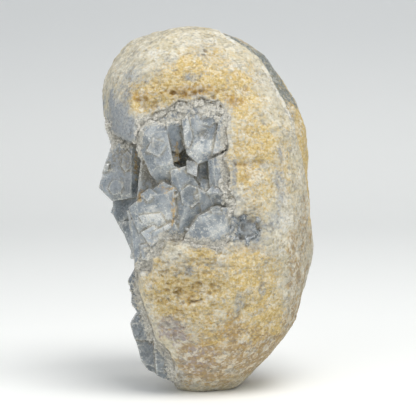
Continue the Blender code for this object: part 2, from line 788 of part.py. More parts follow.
def build_crust(cutters, parts, clearance):
    """The lining of the hollow with every crystal grown on it, joined as one solid."""
    crystals = new_collection("crystals", hidden=True)
    space = ellipsoid("crust_space", HOLLOW_RADII, -2.0 * FIT_GAP, 0.1, crystals)
    window_fill = plate(
        "window_fill",
        WINDOW_OUTLINE,
        WINDOW_FLOOR_Y,
        WINDOW_FLOOR_Y + 5.0,
        crystals,
        grow=-2.0 * FIT_GAP,
    )
    boolean(space, "DIFFERENCE", ellipsoid("cavity", HOLLOW_RADII, -LINING, 0.1, cutters, steps=3))
    boolean(space, "DIFFERENCE", break_cutter("broken_side_crust", 1.0 * MM, cutters))
    boolean(space, "DIFFERENCE", plate("view_in", NOTCH_OUTLINE, -62.0, NOTCH_BACK_Y, cutters))
    settle(space)
    scattered_crystals(crystals)
    for name, (outline, (front, back), facets) in WINDOW_CRYSTALS.items():
        plate(name, outline, front, back, crystals, facets)
    dish = sphere_mesh("dish", 3)
    for vertex in dish.vertices:
        vertex.co = DISH_CENTRE + vertex.co * DISH_RADIUS
    boss = crystals.objects["white_boss"]
    boolean(boss, "DIFFERENCE", add_object("dish", dish, cutters, helper=True))
    crystals.objects.unlink(space)
    parts.objects.link(space)
    space.name = "celestite_crust"
    space.hide_render = False
    space.display_type = "TEXTURED"
    boolean(space, "UNION", crystals)
    settle(space)
    inner = nodule("crystal_envelope", CRYSTALS_SUNK, cutters, ENVELOPE_FACES, 2.5 * MM)
    boolean(space, "INTERSECT", inner)
    settle(space)
    standing = new_collection("rim_crystals", hidden=True)
    for name, (outline, (front, back), facets) in RIM_CRYSTALS.items():
        plate(name, outline, front, back, standing, facets)
    boolean(space, "UNION", standing)
    settle(space)
    boolean(space, "DIFFERENCE", clearance)
    return settle(space)


def main():
    clear_scene()
    parts = new_collection("celestite_geode")
    cutters = new_collection("cutters", hidden=True)
    rind = build_rind(cutters, parts)
    rind.data.materials.clear()
    rind.data.materials.append(finish("limestone", (0.62, 0.53, 0.37), 0.9))
    clearance = build_clearance(cutters)
    crust = build_crust(cutters, parts, clearance)
    crust.data.materials.clear()
    crust.data.materials.append(finish("celestite", (0.33, 0.38, 0.42), 0.3))


main()
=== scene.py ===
"""The looks of the celestite geode: its weathered limestone rind and its crust of crystals.

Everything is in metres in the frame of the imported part: the front is -Y, the broken open side
is -X, +Z is up and the floor is z = 0. MM turns millimetres into metres.
"""

import math
import random

import bmesh
import bpy
import numpy as np
from mathutils import Matrix, Vector, noise
from mathutils.bvhtree import BVHTree
from mathutils.kdtree import KDTree


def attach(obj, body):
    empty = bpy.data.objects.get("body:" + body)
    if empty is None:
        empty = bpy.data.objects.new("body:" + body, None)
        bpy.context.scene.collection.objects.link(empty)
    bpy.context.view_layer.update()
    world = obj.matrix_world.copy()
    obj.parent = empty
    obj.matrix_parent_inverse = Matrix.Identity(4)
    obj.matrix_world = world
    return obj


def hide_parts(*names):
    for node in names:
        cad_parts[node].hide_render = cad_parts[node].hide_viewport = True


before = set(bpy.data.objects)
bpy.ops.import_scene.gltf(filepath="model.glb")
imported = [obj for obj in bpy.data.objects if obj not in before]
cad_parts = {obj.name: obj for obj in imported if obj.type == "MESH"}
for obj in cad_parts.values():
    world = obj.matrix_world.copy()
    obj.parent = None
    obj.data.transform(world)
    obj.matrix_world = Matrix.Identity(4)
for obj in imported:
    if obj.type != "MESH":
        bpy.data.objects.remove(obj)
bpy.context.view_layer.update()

MM = 0.001

# Camera, at the photograph's angle
CAMERA_TARGET = Vector((-1.125, 0.0, 66.75)) * MM
CAMERA_DISTANCE = 0.70
CAMERA_ELEVATION = math.radians(4.0)
CAMERA_LENS = 161.5

# Lights: name, place, size, watts, colour and target
LIGHTS = (
    ("top_light", (0.2, -0.35, 0.8), 0.5, 5.3, (1.0, 0.99, 0.97), CAMERA_TARGET),
    ("front_fill", (-0.5, -0.8, 0.45), 0.8, 3.0, (1, 1, 1), CAMERA_TARGET),
    ("backdrop_light", (0.3, 0.5, 0.8), 0.6, 0.9, (1, 1, 1), (0.0, 1.0, 0.1)),
)
SKY_COLOR = (0.95, 0.97, 1.0, 1.0)
SKY_STRENGTH = 0.5

# Backdrop: where it starts and turns up, its radius, length and half width, and the heights
# over which painted shade darkens it
BACKDROP_START = -1.6
BACKDROP_TURN = 0.75
BACKDROP_RADIUS = 0.5
BACKDROP_LENGTH = 4.6
BACKDROP_HALF_WIDTH = 2.0
BACKDROP_SHADE_HEIGHTS = (0.02, 0.2)

# Soft spots of colour: how far out they fade, their full core, how far and in what waves their
# borders wander, and the half size from which they wander fully, in millimetres
SPOT_SPREAD = 1.45
SPOT_CORE = 0.15
SPOT_WANDER = 4.0
SPOT_WAVES = 9.0
SPOT_WIDE = 6.0

# Even faces for each piece, and the most triangles of the two large ones
RIND_VOXEL = 0.46 * MM
CRUST_VOXEL = 0.42 * MM
SMALL_VOXEL = 0.28 * MM
MOST_TRIANGLES = 194000
# The share of hidden triangles that go
HIDDEN_LOSS = 0.9
# How close points are welded, in the CAD and in a finished mesh
CAD_WELD = 0.01 * MM
WELD = 0.002 * MM
# The least points of a scrap that stays
LEAST_POINTS = 17

# The rind's border sinks this deep into the crystals that lie within reach
CONTACT_DEPTH = 0.3 * MM
CONTACT_FULL = 0.45 * MM
CONTACT_REACH = 0.9 * MM
# Between these distances from the crystals, the smoothing of the rind sets in
BORDER_FADE = (1.5 * MM, 5.0 * MM)
# Between these heights above the flat spot, the relief sets in
FOOT_FADE = (0.4 * MM, 3.0 * MM)
# How squarely the outer skin faces outwards
OUTER_SKIN = (0.35, 0.8)
SMOOTHING_ROUNDS = 40
SOFTENING_ROUNDS = 4
# How much of the raised edge the smoothing leaves alone
SEAM_KEPT = 0.85
# Grey rock dust beside the crystals
HALO_REACH = (0.5 * MM, 4.5 * MM)
HALO_STRENGTH = 0.8

# Crumbs of rock along the broken edges: an edge's least turn in radians, their radii, and how
# far apart and astray they lie, in millimetres
CRUMB_EDGE = 0.6
CRUMB_RADII = (0.35, 1.3)
CRUMB_STEPS_WINDOW = (0.2, 1.6)
CRUMB_STEPS = (0.7, 0.7)
CRUMB_DEEPEST = 6.0 * MM
CRUMB_SUNK = 0.45

# Layers of relief: kind, size, octaves, seed, stretch, height where the rock is smooth, and how
# much more where it is rough, in millimetres
EVEN = (1.0, 1.0, 1.0)
SKIN_LAYERS = (
    ("lumps", 13.0, 3, 1.0, EVEN, 0.25, 0.3),
    ("lumps", 5.5, 5, 2.0, EVEN, 0.08, 1.05),
    ("folds", 2.8, 3, 4.0, (2.2, 1.0, 0.6), 0.05, 0.9),
    ("lumps", 1.6, 3, 12.0, EVEN, 0.1, 0.25),
    ("pores", 3.4, 2, 9.0, EVEN, 0.03, 0.5),
)

# Points along the crystals' sharp edges: how far apart, from how far they pull, and an edge's
# least turn in radians
RIDGE_STEP = 0.12 * MM
RIDGE_REACH = 0.24 * MM
RIDGE_TURN = 0.3

# Small crystals in the valleys: a valley's least fold and length, how far apart they are,
# their widths in millimetres, and the share left out
VALLEY_TURN = -0.5
VALLEY_LENGTH = 1.2 * MM
VALLEY_STEP = 3.4 * MM
VALLEY_WIDTHS_WINDOW = (1.1, 2.2)
VALLEY_WIDTHS = (2.2, 4.6)
VALLEY_SKIPPED_WINDOW = 0.8
VALLEY_SKIPPED = 0.35
VALLEY_MARGIN = 3.0 * MM

# Thin plates on the large facets: the area for each, how far they keep off the rind, how far off
# a facet one may reach, and their radii and how deep they are sunk, in millimetres
PLATE_SPACE = 110.0 * MM * MM
PLATE_MARGIN = 4.6 * MM
PLATE_REACH = 1.5 * MM
PLATE_RADII = (2.4, 5.0)
PLATE_SUNK = (0.46, 0.62)
PLATE_THICKNESS = 1.6 * MM

# Crystals in the vug, and grains along the border of rock and crystals, in millimetres
VUG_CRYSTALS = 16
VUG_WIDTHS = (1.2, 3.0)
BORDER_TRIES = 26000
BORDER_REACH = 1.1 * MM
BORDER_RADII = (0.4, 1.0)
BORDER_HEIGHTS = (52.0 * MM, 112.0 * MM)

# The nodule that the weathered skin follows: its centre and half sizes
EGG_CENTRE = np.array((-2.5, -1.0, 65.6)) * MM
EGG_RADII = np.array((41.0, 42.0, 69.1)) * MM

# Its leaning axis and its reach to the right, by height, and its depth
AXIS_X = ((-3.5, -1.0), (134.7, -8.0))
RIGHT_REACH = ((84.0, 42.2), (104.0, 47.0))
FRONT_REACH = 43.0
SECTION_POWER = 1.125

# The raised edge on the right: height, and turn about the axis towards the front in degrees
SEAM_STATIONS = (
    (55.0, 19.0),
    (78.0, 25.0),
    (88.0, 28.0),
    (98.0, 34.0),
    (113.0, 35.0),
    (120.0, 38.0),
    (130.0, 52.0),
)

# Where each tone of the rind gathers on the front: x, z, half width, half height, strength
RIND_PATCHES = {
    "ochre": (
        (-8, 112, 20, 8, 1.0), (-6, 119, 10, 5, 0.6), (8, 111, 9, 9, 0.7), (-25, 108, 8, 5, 1.0),
        (-3, 124, 10, 6, 0.4), (12, 85, 7, 9, 0.9), (12, 100, 8, 12, 0.55), (16, 70, 4, 9, 0.5),
        (-9, 41, 17, 13, 1.0), (14, 46, 12, 12, 0.8), (18, 32, 10, 12, 0.8), (20, 88, 6, 16, 0.5),
        (27, 84, 4, 16, 0.4), (-2, 56, 7, 4, 0.7), (2, 24, 10, 9, 0.5),
    ),
    "rust": (
        (-8, 110.5, 12, 2.4, 1.0), (-25, 108.5, 5, 2.2, 1.0), (8, 107, 5, 3, 0.8), (-1, 57, 6, 2, 0.6),
        (-10, 36, 9, 9, 0.3), (11, 83, 7, 4, 0.35), (3, 28, 9, 7, 0.35),
    ),
    "chalk": (
        (-18, 124, 9, 6, 0.5), (9, 119, 5, 3, 0.6), (6, 104.5, 6, 2, 0.7), (-23, 46, 4, 6, 1.0),
        (-1, 41.5, 8, 4, 1.0), (-6, 35, 5, 2, 0.6), (25, 70, 4, 34, 0.55), (15, 52, 5, 4, 0.5),
    ),
    "slate": (
        (-34, 101, 8, 11, 1.0), (-29, 96, 9, 6, 1.0), (-27, 117, 9, 8, 0.45), (-7, 116, 4, 2.2, 0.6),
        (24, 80, 3, 20, 0.45), (21, 54, 4, 14, 0.35), (10, 34, 3, 6, 0.6), (18, 40, 2, 5, 0.6),
        (-10, 48, 6, 4, 0.6), (12, 62, 8, 8, 0.85), (-2, 103.5, 8, 3.5, 0.95), (-17, 102, 6, 3, 0.5),
        (8, 82, 1.6, 14, 0.6),
    ),
    "tan": (
        (8, 16, 20, 15, 1.0), (-10, 10, 10, 10, 0.7), (33, 45, 6, 40, 0.6), (22, 24, 14, 13, 0.6),
        (-36, 92, 4, 6, 1.0),
    ),
    "mauve": ((-14, 26, 8, 7, 0.9), (-6, 15, 8, 6, 0.5), (14, 54, 8, 5, 0.5), (-6, 117, 5, 2.5, 0.6)),
    "rough": (
        (-10, 110, 24, 8, 0.8), (-8, 44, 19, 17, 1.0), (12, 84, 10, 20, 0.45), (-12, 26, 12, 8, 0.4),
        (12, 62, 9, 9, 0.8),
    ),
}

# Pits on the front: x, z, radius, depth
PITS = (
    (-16.3, 40.2, 1.5, 1.2), (-11.7, 39.5, 1.7, 1.4), (-5.5, 41.2, 2.2, 0.9), (-16.0, 47.5, 1.3, 0.8),
    (-10.0, 47.5, 2.2, 0.7), (-18.5, 36.0, 1.6, 1.0), (2.1, 27.9, 0.7, 0.9), (-2.2, 125.4, 0.9, 0.8),
    (-13.5, 110.4, 1.2, 1.2), (-9.8, 109.6, 1.5, 1.4), (-6.0, 110.4, 1.0, 1.0), (-3.4, 111.0, 1.1, 1.2),
    (0.8, 108.4, 1.1, 1.0), (-24.5, 107.0, 2.2, 1.5), (-20.5, 105.8, 1.8, 1.2), (12.4, 112.0, 1.0, 0.8),
)
# Scratches and cracks on the front: the two ends as x, z, then half width and depth
CRACKS = (
    ((8.5, 84.8), (18.0, 85.4), 1.1, 0.9),
    ((-8.2, 36.0), (-3.6, 37.0), 0.6, 1.1),
    ((-11.7, 124.2), (2.0, 123.6), 0.4, 0.35),
    ((7.0, 27.8), (12.6, 33.0), 0.7, 0.5),
    ((9.7, 31.9), (12.7, 34.2), 0.9, 0.8),
    ((13.5, 24.0), (17.0, 20.0), 0.5, 0.4),
    ((17.0, 39.5), (19.0, 44.0), 0.8, 0.6),
    ((-4.5, 26.5), (0.5, 33.0), 0.5, 0.4),
)
# The shallow vug to the right of the window: x, z, half width, half height, depth
VUG = (12.2, 62.3, 5.6, 6.0, 1.3)

# The same for the tones of the crystals; the dark and brown ones also paint shade on crystals in shadow
# and in deep recesses
CRYSTAL_PATCHES = {
    "white": (
        (-5, 89.5, 4, 3.5, 0.7), (1, 90.5, 4, 3.5, 0.65), (-8.6, 97, 1.6, 6, 0.7), (-19, 64, 8, 5, 0.6),
        (-15, 82, 3, 5, 0.5), (2, 61, 8, 5, 0.65), (-21, 67, 7, 4, 0.5), (-22, 55, 5, 6, 0.4),
        (3, 74, 5, 3, 0.3), (-5, 84, 3, 2.5, 0.6),
    ),
    # The crystals' own darker tone in places, and painted shade on the leaning crystal, in the pockets
    # and on the crystals low on the left.
    "dark_tone_and_shade": (
        (-31, 84, 9, 13, 0.5), (-19.5, 89, 4.5, 9, 0.4), (-9, 73, 4, 8, 0.5), (2, 80, 3, 6, 0.35),
        (-2.7, 96.2, 2.2, 2.2, 0.5), (-10, 89, 3.0, 5, 0.9), (-3, 80, 3.0, 4, 0.8),
        (-22, 14, 12, 14, 1.0), (-27, 36, 6, 12, 0.8), (-33, 63, 6, 9, 0.6), (1, 70, 5, 2.2, 0.8),
        (3, 74, 4, 6, 0.5), (-33, 73, 5, 6, 0.5), (2, 101, 8, 2.5, 0.6), (-8, 77, 2.5, 2.5, 0.4),
    ),
    "rock": (
        (5, 96, 2.2, 10, 0.6), (-37, 95, 4, 6, 0.9), (0, 104, 8, 2.4, 0.9), (-15, 101, 10, 2.4, 0.8),
        (7, 82, 1.6, 7, 0.6), (8, 68, 2.0, 6, 0.6), (-14, 58, 10, 1.6, 0.7), (-22, 51, 6, 1.6, 0.7),
    ),
    # Brown-grey tone, and painted shade in the deep recess between the leaning crystal and the blade.
    "brown_tone_and_recess_shade": ((-24, 82, 4.5, 10, 1.0), (-11, 89, 3.5, 3, 0.8), (-31, 87, 5, 10, 0.6)),
    "stain": (
        (-26, 73, 1.2, 2.0, 1.0), (-36, 96, 3, 4, 0.6), (-27.3, 84, 0.8, 8, 0.8),
        (-12.0, 89, 1.2, 5, 0.7), (-13.7, 68, 0.8, 9, 0.8), (-15, 56, 7, 4, 0.5), (-16, 76, 4, 2, 0.5),
        (-3, 57, 8, 2, 0.8),
    ),
}

# Crystals added to the front of the crust: an outline as x, z, the front and back as y, and a
# point and an outward normal of the plane that cuts the front
ADDED_CRYSTALS = {
    "pocket_facet": (
        ((-16, 100), (-8.5, 100), (-7, 93), (-11.5, 88.5), (-15, 90.5)),
        (-38, -24), (-14.2, -36.2, 96), (0.5, -1, -0.15),
    ),
    "boss_right_wall": (
        ((0.5, 88.5), (5.5, 90.5), (6.5, 97), (5.5, 104), (2.5, 100)),
        (-41, -28), (4, -38.6, 94), (0.45, -1, 0.1),
    ),
    "boss_left_wall": (
        ((-10.6, 101), (-8.5, 102), (-6.5, 95), (-8, 90.6), (-9.4, 92)),
        (-41, -28), (-8.4, -38.2, 96), (-0.5, -1, 0.1),
    ),
    "notch_lower": (
        ((-4.5, 80), (0.6, 79), (0.4, 75.4), (-3, 75)),
        (-40, -24), (-2, -37.0, 77), (-0.1, -1, 0.7),
    ),
    "shield_leaf": (
        ((-26, 66.5), (-18, 67.5), (-15.5, 63), (-22, 60.5)),
        (-40, -28), (-20, -36.9, 64.5), (-0.22, -1, -0.28),
    ),
    "leaf_one": (
        ((-25, 60.5), (-20.5, 63), (-16.5, 60), (-21.5, 55.5)),
        (-40, -26), (-20.8, -37.6, 59.6), (-0.3, -1, 0.25),
    ),
    "leaf_two": (
        ((-25.5, 56), (-20.5, 57), (-19, 51.5), (-24.5, 50.5)),
        (-40, -26), (-22, -37.3, 54), (-0.4, -1, 0.12),
    ),
}


def ease(low, high, values):
    """0 up to low, 1 from high, and a smooth rise between them."""
    share = np.clip((values - low) / (high - low), 0.0, 1.0)
    return share * share * (3.0 - 2.0 * share)


def lumps(points, size, octaves=1, seed=0.0, stretch=EVEN):
    """Noise from about -1 to 1 at each point, with lumps of the given size in millimetres."""
    places = points / (size * MM) / np.array(stretch) + np.array((seed, -seed, 2.0 * seed))
    return np.array([noise.fractal(place, 1.0, 2.0, octaves) for place in places.tolist()])


def patches(points, spots):
    """How strongly a list of soft spots on the front colours each point, from 0 to 1."""
    x, y, z = (points / MM).T
    wander_x = lumps(points, SPOT_WAVES, 3, 3.1) * SPOT_WANDER
    wander_z = lumps(points, SPOT_WAVES, 3, 7.7) * SPOT_WANDER
    clear = np.ones(len(points))
    for spot_x, spot_z, half_width, half_height, strength in spots:
        across = x + wander_x * min(1.0, half_width / SPOT_WIDE) - spot_x
        upward = z + wander_z * min(1.0, half_height / SPOT_WIDE) - spot_z
        away = np.hypot(across / (half_width * SPOT_SPREAD), upward / (half_height * SPOT_SPREAD))
        clear *= 1.0 - strength * ease(1.0, SPOT_CORE, away)
    return (1.0 - clear) * ease(4.0, -10.0, y)


# Meshes


def opened(mesh):
    """A bmesh with a mesh's faces."""
    shape = bmesh.new()
    shape.from_mesh(mesh)
    return shape


def closed(shape, mesh):
    """Writes a bmesh to a mesh and frees it."""
    shape.to_mesh(mesh)
    shape.free()
    return mesh


def linked(name, data):
    """A new object in the scene."""
    obj = bpy.data.objects.new(name, data)
    bpy.context.scene.collection.objects.link(obj)
    return obj


def vertex_array(mesh, what="co"):
    """The vertices' places, or their normals, as rows."""
    values = np.empty(len(mesh.vertices) * 3, np.float32)
    if what == "co":
        mesh.vertices.foreach_get("co", values)
    else:
        mesh.vertex_normals.foreach_get("vector", values)
    return values.reshape(-1, 3).astype(float)


def set_vertices(mesh, points):
    mesh.vertices.foreach_set("co", points.astype(np.float32).ravel())
    mesh.update()


def neighbour_average(mesh):
    """A function that averages any per-vertex values over each vertex's neighbours."""
    ends = np.empty(len(mesh.edges) * 2, np.int32)
    mesh.edges.foreach_get("vertices", ends)
    first, second = ends.reshape(-1, 2).T
    count = len(mesh.vertices)
    degree = np.maximum(np.bincount(first, minlength=count) + np.bincount(second, minlength=count), 1)

    def average(values):
        total = np.bincount(first, values[second], count) + np.bincount(second, values[first], count)
        return total / degree

    return average


def smoothed(points, average, rounds, share):
    """The points after so many rounds of moving them towards their neighbours' average."""
    for _ in range(rounds):
        middle = np.stack([average(points[:, axis]) for axis in range(3)], 1)
        points = points + (middle - points) * share[:, None]
    return points


def evaluated(obj):
    """The object's mesh with its modifiers worked in."""
    bpy.context.view_layer.update()
    graph = bpy.context.evaluated_depsgraph_get()
    mesh = bpy.data.meshes.new_from_object(obj.evaluated_get(graph))
    obj.modifiers.clear()
    obj.data = mesh
    return mesh


def remesh(obj, voxel):
    """The object's mesh as small even faces."""
    modifier = obj.modifiers.new("even faces", "REMESH")
    modifier.mode = "VOXEL"
    modifier.voxel_size = voxel
    return evaluated(obj)


def thin_out(obj, hidden, most):
    """Fewer triangles: first where the piece is hidden in the contact, then where it is flat."""
    group = obj.vertex_groups.new(name="hidden")
    group.add(np.flatnonzero(hidden).tolist(), 1.0, "REPLACE")
    modifier = obj.modifiers.new("fewer hidden faces", "DECIMATE")
    modifier.vertex_group = group.name
    modifier.ratio = 1.0 - HIDDEN_LOSS * hidden.mean()
    evaluated(obj)
    obj.vertex_groups.clear()
    obj.data.calc_loop_triangles()
    modifier = obj.modifiers.new("fewer flat faces", "DECIMATE")
    modifier.ratio = min(1.0, most / len(obj.data.loop_triangles))
    modifier.use_collapse_triangulate = True
    return evaluated(obj)


def covered(near, average):
    """Which points lie deep in the contact of rind and crust, away from all that shows."""
    shown = (near > CONTACT_REACH).astype(float)
    rings, least = 10, 0.01
    for _ in range(rings):
        shown = average(shown)
    return shown < least


def without_scraps(mesh):
    """Takes folded faces and loose scraps of a few faces out of a mesh."""
    shape = opened(mesh)
    bmesh.ops.remove_doubles(shape, verts=shape.verts[:], dist=WELD)
    bmesh.ops.dissolve_degenerate(shape, edges=shape.edges[:], dist=WELD)
    bmesh.ops.triangulate(shape, faces=shape.faces[:])
    left = set(shape.verts)
    scraps = []
    while left:
        found = [left.pop()]
        for vertex in found:
            joined = {edge.other_vert(vertex) for edge in vertex.link_edges} & left
            left -= joined
            found.extend(joined)
        if len(found) < LEAST_POINTS:
            scraps.extend(found)
    bmesh.ops.delete(shape, geom=scraps, context="VERTS")
    closed(shape, mesh).validate()


def store(mesh, name, values):
    """Keeps a field on a mesh, for its material."""
    layer = mesh.attributes.new(name, "FLOAT", "POINT")
    layer.data.foreach_set("value", values.astype(np.float32))


def point_tree(places):
    """A tree that finds the nearest of many places."""
    tree = KDTree(len(places))
    for index, place in enumerate(places):
        tree.insert(place, index)
    tree.balance()
    return tree


def carried(old_points, new_points, fields):
    """Each field's values at the new points, from the nearest old point."""
    tree = point_tree(old_points.tolist())
    nearest = np.array([tree.find(point)[1] for point in new_points.tolist()])
    return {name: values[nearest] for name, values in fields.items()}


def distances(points, tree, farthest):
    """For each point: the distance to a surface, the nearest point on it and that point's face."""
    found = np.full(len(points), farthest)
    nearest = points.copy()
    faces = np.full(len(points), -1)
    for index, point in enumerate(points.tolist()):
        place, _, face, distance = tree.find_nearest(point, farthest)
        if place is not None:
            found[index] = distance
            nearest[index] = place
            faces[index] = face
    return found, nearest, faces


def new_piece(name, mesh, replaced=None):
    """A visible piece of the geode, riding with the whole part."""
    piece = linked(name, mesh)
    if replaced:
        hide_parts(replaced)
    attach(piece, "root")
    return piece


def loose_copy(node, name):
    """A welded copy of a CAD node's mesh, as a scratch object."""
    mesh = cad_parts[node].data.copy()
    mesh.materials.clear()
    shape = opened(mesh)
    bmesh.ops.remove_doubles(shape, verts=shape.verts[:], dist=CAD_WELD)
    return linked(name, closed(shape, mesh))


def cad_tree(node):
    """A tree that finds the nearest places on a CAD node."""
    scratch = loose_copy(node, "guide")
    tree = surface_tree(scratch.data)
    bpy.data.objects.remove(scratch)
    return tree


def surface_tree(mesh):
    """A tree that finds the nearest places on a mesh."""
    shape = opened(mesh)
    tree = BVHTree.FromBMesh(shape)
    shape.free()
    return tree


# Material helpers


def srgb(red, green, blue):
    """A linear colour from 0 to 255 display values."""
    values = [channel / 255.0 for channel in (red, green, blue)]
    return (*[((v + 0.055) / 1.055) ** 2.4 if v > 0.04045 else v / 12.92 for v in values], 1.0)


class Shader:
    """A material under construction: most methods add nodes and return an output."""

    def __init__(self, name):
        self.material = bpy.data.materials.new(name)
        self.material.use_nodes = True
        self.tree = self.material.node_tree
        self.principled = self.tree.nodes["Principled BSDF"]
        self.place = self.node("ShaderNodeTexCoord").outputs["Object"]
        self.color = None

    def node(self, kind, **settings):
        made = self.tree.nodes.new(kind)
        for name, value in settings.items():
            setattr(made, name, value)
        return made

    def feed(self, socket, value):
        if isinstance(value, bpy.types.NodeSocket):
            self.tree.links.new(value, socket)
        else:
            socket.default_value = value

    def dial(self, node, **sockets):
        """Sets or links a node's inputs, with _ for each space in a name."""
        for name, value in sockets.items():
            self.feed(node.inputs[name.replace("_", " ")], value)
        return node

    def value(self, name):
        """A field that is stored on the mesh."""
        return self.node("ShaderNodeAttribute", attribute_name=name).outputs["Fac"]

    def math(self, operation, *values):
        made = self.node("ShaderNodeMath", operation=operation)
        for socket, value in zip(made.inputs, values):
            self.feed(socket, value)
        return made.outputs[0]

    def times(self, first, second):
        return self.math("MULTIPLY", first, second)

    def step(self, value, low, high, to_low=0.0, to_high=1.0):
        """A smooth change from to_low to to_high as the value goes from low to high."""
        made = self.node("ShaderNodeMapRange", interpolation_type="SMOOTHSTEP")
        for socket, number in zip(made.inputs, (value, low, high, to_low, to_high)):
            self.feed(socket, number)
        return made.outputs[0]

    def mix(self, share, first, second, blend="MIX"):
        made = self.node("ShaderNodeMix", data_type="RGBA", blend_type=blend)
        self.feed(made.inputs[0], share)
        self.feed(made.inputs[6], first)
        self.feed(made.inputs[7], second)
        return made.outputs[2]

    def paint(self, share, color, blend="MIX"):
        """Lays a colour over the colours so far, by a share."""
        self.color = self.mix(share, self.color, color, blend)

    def texture(self, kind, size, where=None, **settings):
        """A texture node with features of the given size in millimetres."""
        made = self.node(kind, **settings)
        return self.dial(made, Vector=where or self.place, Scale=1.0 / (size * MM))

    def stretched(self, scale, turn):
        """Object coordinates stretched by a scale, for streaks."""
        made = self.node("ShaderNodeMapping")
        return self.dial(made, Vector=self.place, Rotation=turn, Scale=scale).outputs[0]

    def bent(self, amount, size):
        """Object coordinates bent to and fro by an amount, in waves of a size, in millimetres."""
        made = self.texture("ShaderNodeTexNoise", size)
        shift = self.node("ShaderNodeVectorMath", operation="MULTIPLY_ADD")
        self.feed(shift.inputs[0], made.outputs["Color"])
        shift.inputs[1].default_value = (4.0 * amount * MM,) * 3
        self.feed(shift.inputs[2], self.place)
        return shift.outputs[0]

    def noise(self, size, detail=4.0, roughness=0.6, distortion=0.0, where=None):
        """Noise spread over 0 to 1, with features of the given size in millimetres."""
        made = self.texture("ShaderNodeTexNoise", size, where)
        self.dial(made, Detail=detail, Roughness=roughness, Distortion=distortion)
        return self.step(made.outputs["Fac"], 0.3, 0.7)

    def grains(self, size):
        """Two random values from 0 to 1 for each of many small grains of the given size."""
        made = self.texture("ShaderNodeTexVoronoi", size)
        parts = self.node("ShaderNodeSeparateColor")
        self.feed(parts.inputs[0], made.outputs["Color"])
        return parts.outputs[0], parts.outputs[1]

    def cracks(self, size, width, where=None):
        """1 on thin lines between cells of the given size, and 0 away from them."""
        made = self.texture("ShaderNodeTexVoronoi", size, where, feature="DISTANCE_TO_EDGE")
        return self.step(made.outputs["Distance"], 0.0, width / size, 1.0, 0.0)

    def share(self, name, pattern, strength=1.0, low=0.35, high=0.7):
        """A field's share, its soft border broken up by a pattern."""
        broken = self.math("ADD", self.value(name), self.math("MULTIPLY_ADD", pattern, 0.9, -0.45))
        return self.step(broken, low, high, 0.0, strength)

    def bump(self, height, depth, strength=1.0):
        """Normals for a height, depth millimetres from its lows to its highs."""
        made = self.node("ShaderNodeBump")
        return self.dial(made, Strength=strength, Distance=depth * MM, Height=height).outputs[0]


def limestone():
    """Granular cream and grey rock, with ochre, rust, chalky, blue-grey and tan patches, and painted
    shade and highlights on its relief.
    """
    s = Shader("weathered_limestone")
    fine = s.noise(0.6, 3.0, 0.65)
    grain = s.noise(1.7, 5.0, 0.72)
    cloud = s.noise(6.5, 6.0, 0.68)
    broad = s.noise(24.0, 5.0, 0.6)
    mottle = s.math("MULTIPLY_ADD", grain, 0.5, s.times(cloud, 0.5))
    streak = s.noise(2.6, 5.0, 0.7, 0.4, s.stretched((1.0, 1.0, 0.4), (0.0, 0.35, 0.0)))
    s.color = s.mix(mottle, srgb(172, 169, 156), srgb(222, 217, 200))
    s.paint(s.times(broad, 0.5), srgb(214, 200, 158))
    s.paint(s.share("chalk", mottle, 0.9), srgb(228, 227, 219))
    s.paint(s.share("tan", mottle, 0.9), s.mix(grain, srgb(146, 118, 80), srgb(184, 161, 122)))
    s.paint(s.share("mauve", grain, 0.85), srgb(158, 146, 146))
    ochre = s.mix(fine, srgb(194, 165, 98), srgb(228, 214, 168))
    s.paint(s.share("ochre", mottle, 0.95), ochre)
    s.paint(s.share("rust", grain, 0.85), srgb(180, 142, 74))
    marble = s.noise(4.5, 7.0, 0.7, 0.3)
    blotch = s.noise(3.2, 6.0, 0.72, 0.8, s.stretched((0.6, 1.0, 1.3), (0.0, 0.2, 0.0)))
    s.paint(s.step(marble, 0.5, 0.85, 0.0, 0.7), srgb(228, 224, 209))
    s.paint(s.step(blotch, 0.45, 0.12, 0.0, 0.6), srgb(148, 144, 134))
    web = s.cracks(1.5, 0.34, s.bent(0.5, 1.6))
    golden = s.times(web, s.share("ochre", blotch, 0.5, 0.1, 0.6))
    s.paint(golden, srgb(202, 166, 84))
    slate = s.mix(fine, srgb(120, 129, 139), srgb(160, 166, 171))
    s.paint(s.share("slate", mottle, 0.9, 0.2, 0.85), slate)
    # Painted shade in the groove behind the raised edge, in a dark blue-grey.
    groove = s.mix(fine, srgb(92, 104, 112), srgb(140, 146, 140))
    s.paint(s.share("groove", streak, 0.9), groove)
    s.paint(s.share("halo", grain, 0.8), s.mix(fine, srgb(150, 152, 150), srgb(204, 203, 196)))
    shade, tint = s.grains(0.85)
    gritty = s.math("SUBTRACT", 1.0, s.times(s.value("slate"), 0.8))
    warm = s.times(s.step(tint, 0.7, 1.0, 0.0, 0.3), gritty)
    s.paint(warm, srgb(204, 174, 102))
    s.paint(s.step(tint, 0.25, 0.0, 0.0, 0.25), srgb(146, 150, 156))
    pale = s.times(s.step(shade, 0.6, 1.0, 0.0, 0.26), gritty)
    s.paint(pale, srgb(242, 239, 228))
    s.paint(s.step(shade, 0.35, 0.0, 0.0, 0.3), srgb(160, 148, 128), "MULTIPLY")
    # Painted shade: creases and pits darkened with a warm brown, which also stands for dirt there.
    s.paint(s.times(s.value("crevice_shade_and_stain"), 0.5), srgb(178, 150, 108), "MULTIPLY")
    # Painted highlight: raised bits of the rock a little paler.
    s.paint(s.times(s.value("edge"), 0.3), srgb(242, 238, 224))
    height = s.math("MULTIPLY_ADD", fine, 0.4, grain)
    height = s.times(height, s.step(s.value("rough"), 0.0, 1.0, 0.5, 1.2))
    s.dial(
        s.principled,
        Base_Color=s.color,
        Roughness=s.step(cloud, 0.0, 1.0, 0.95, 0.8),
        Specular_IOR_Level=0.25,
        Normal=s.bump(height, 0.5, 0.8),
    )
    return s.material


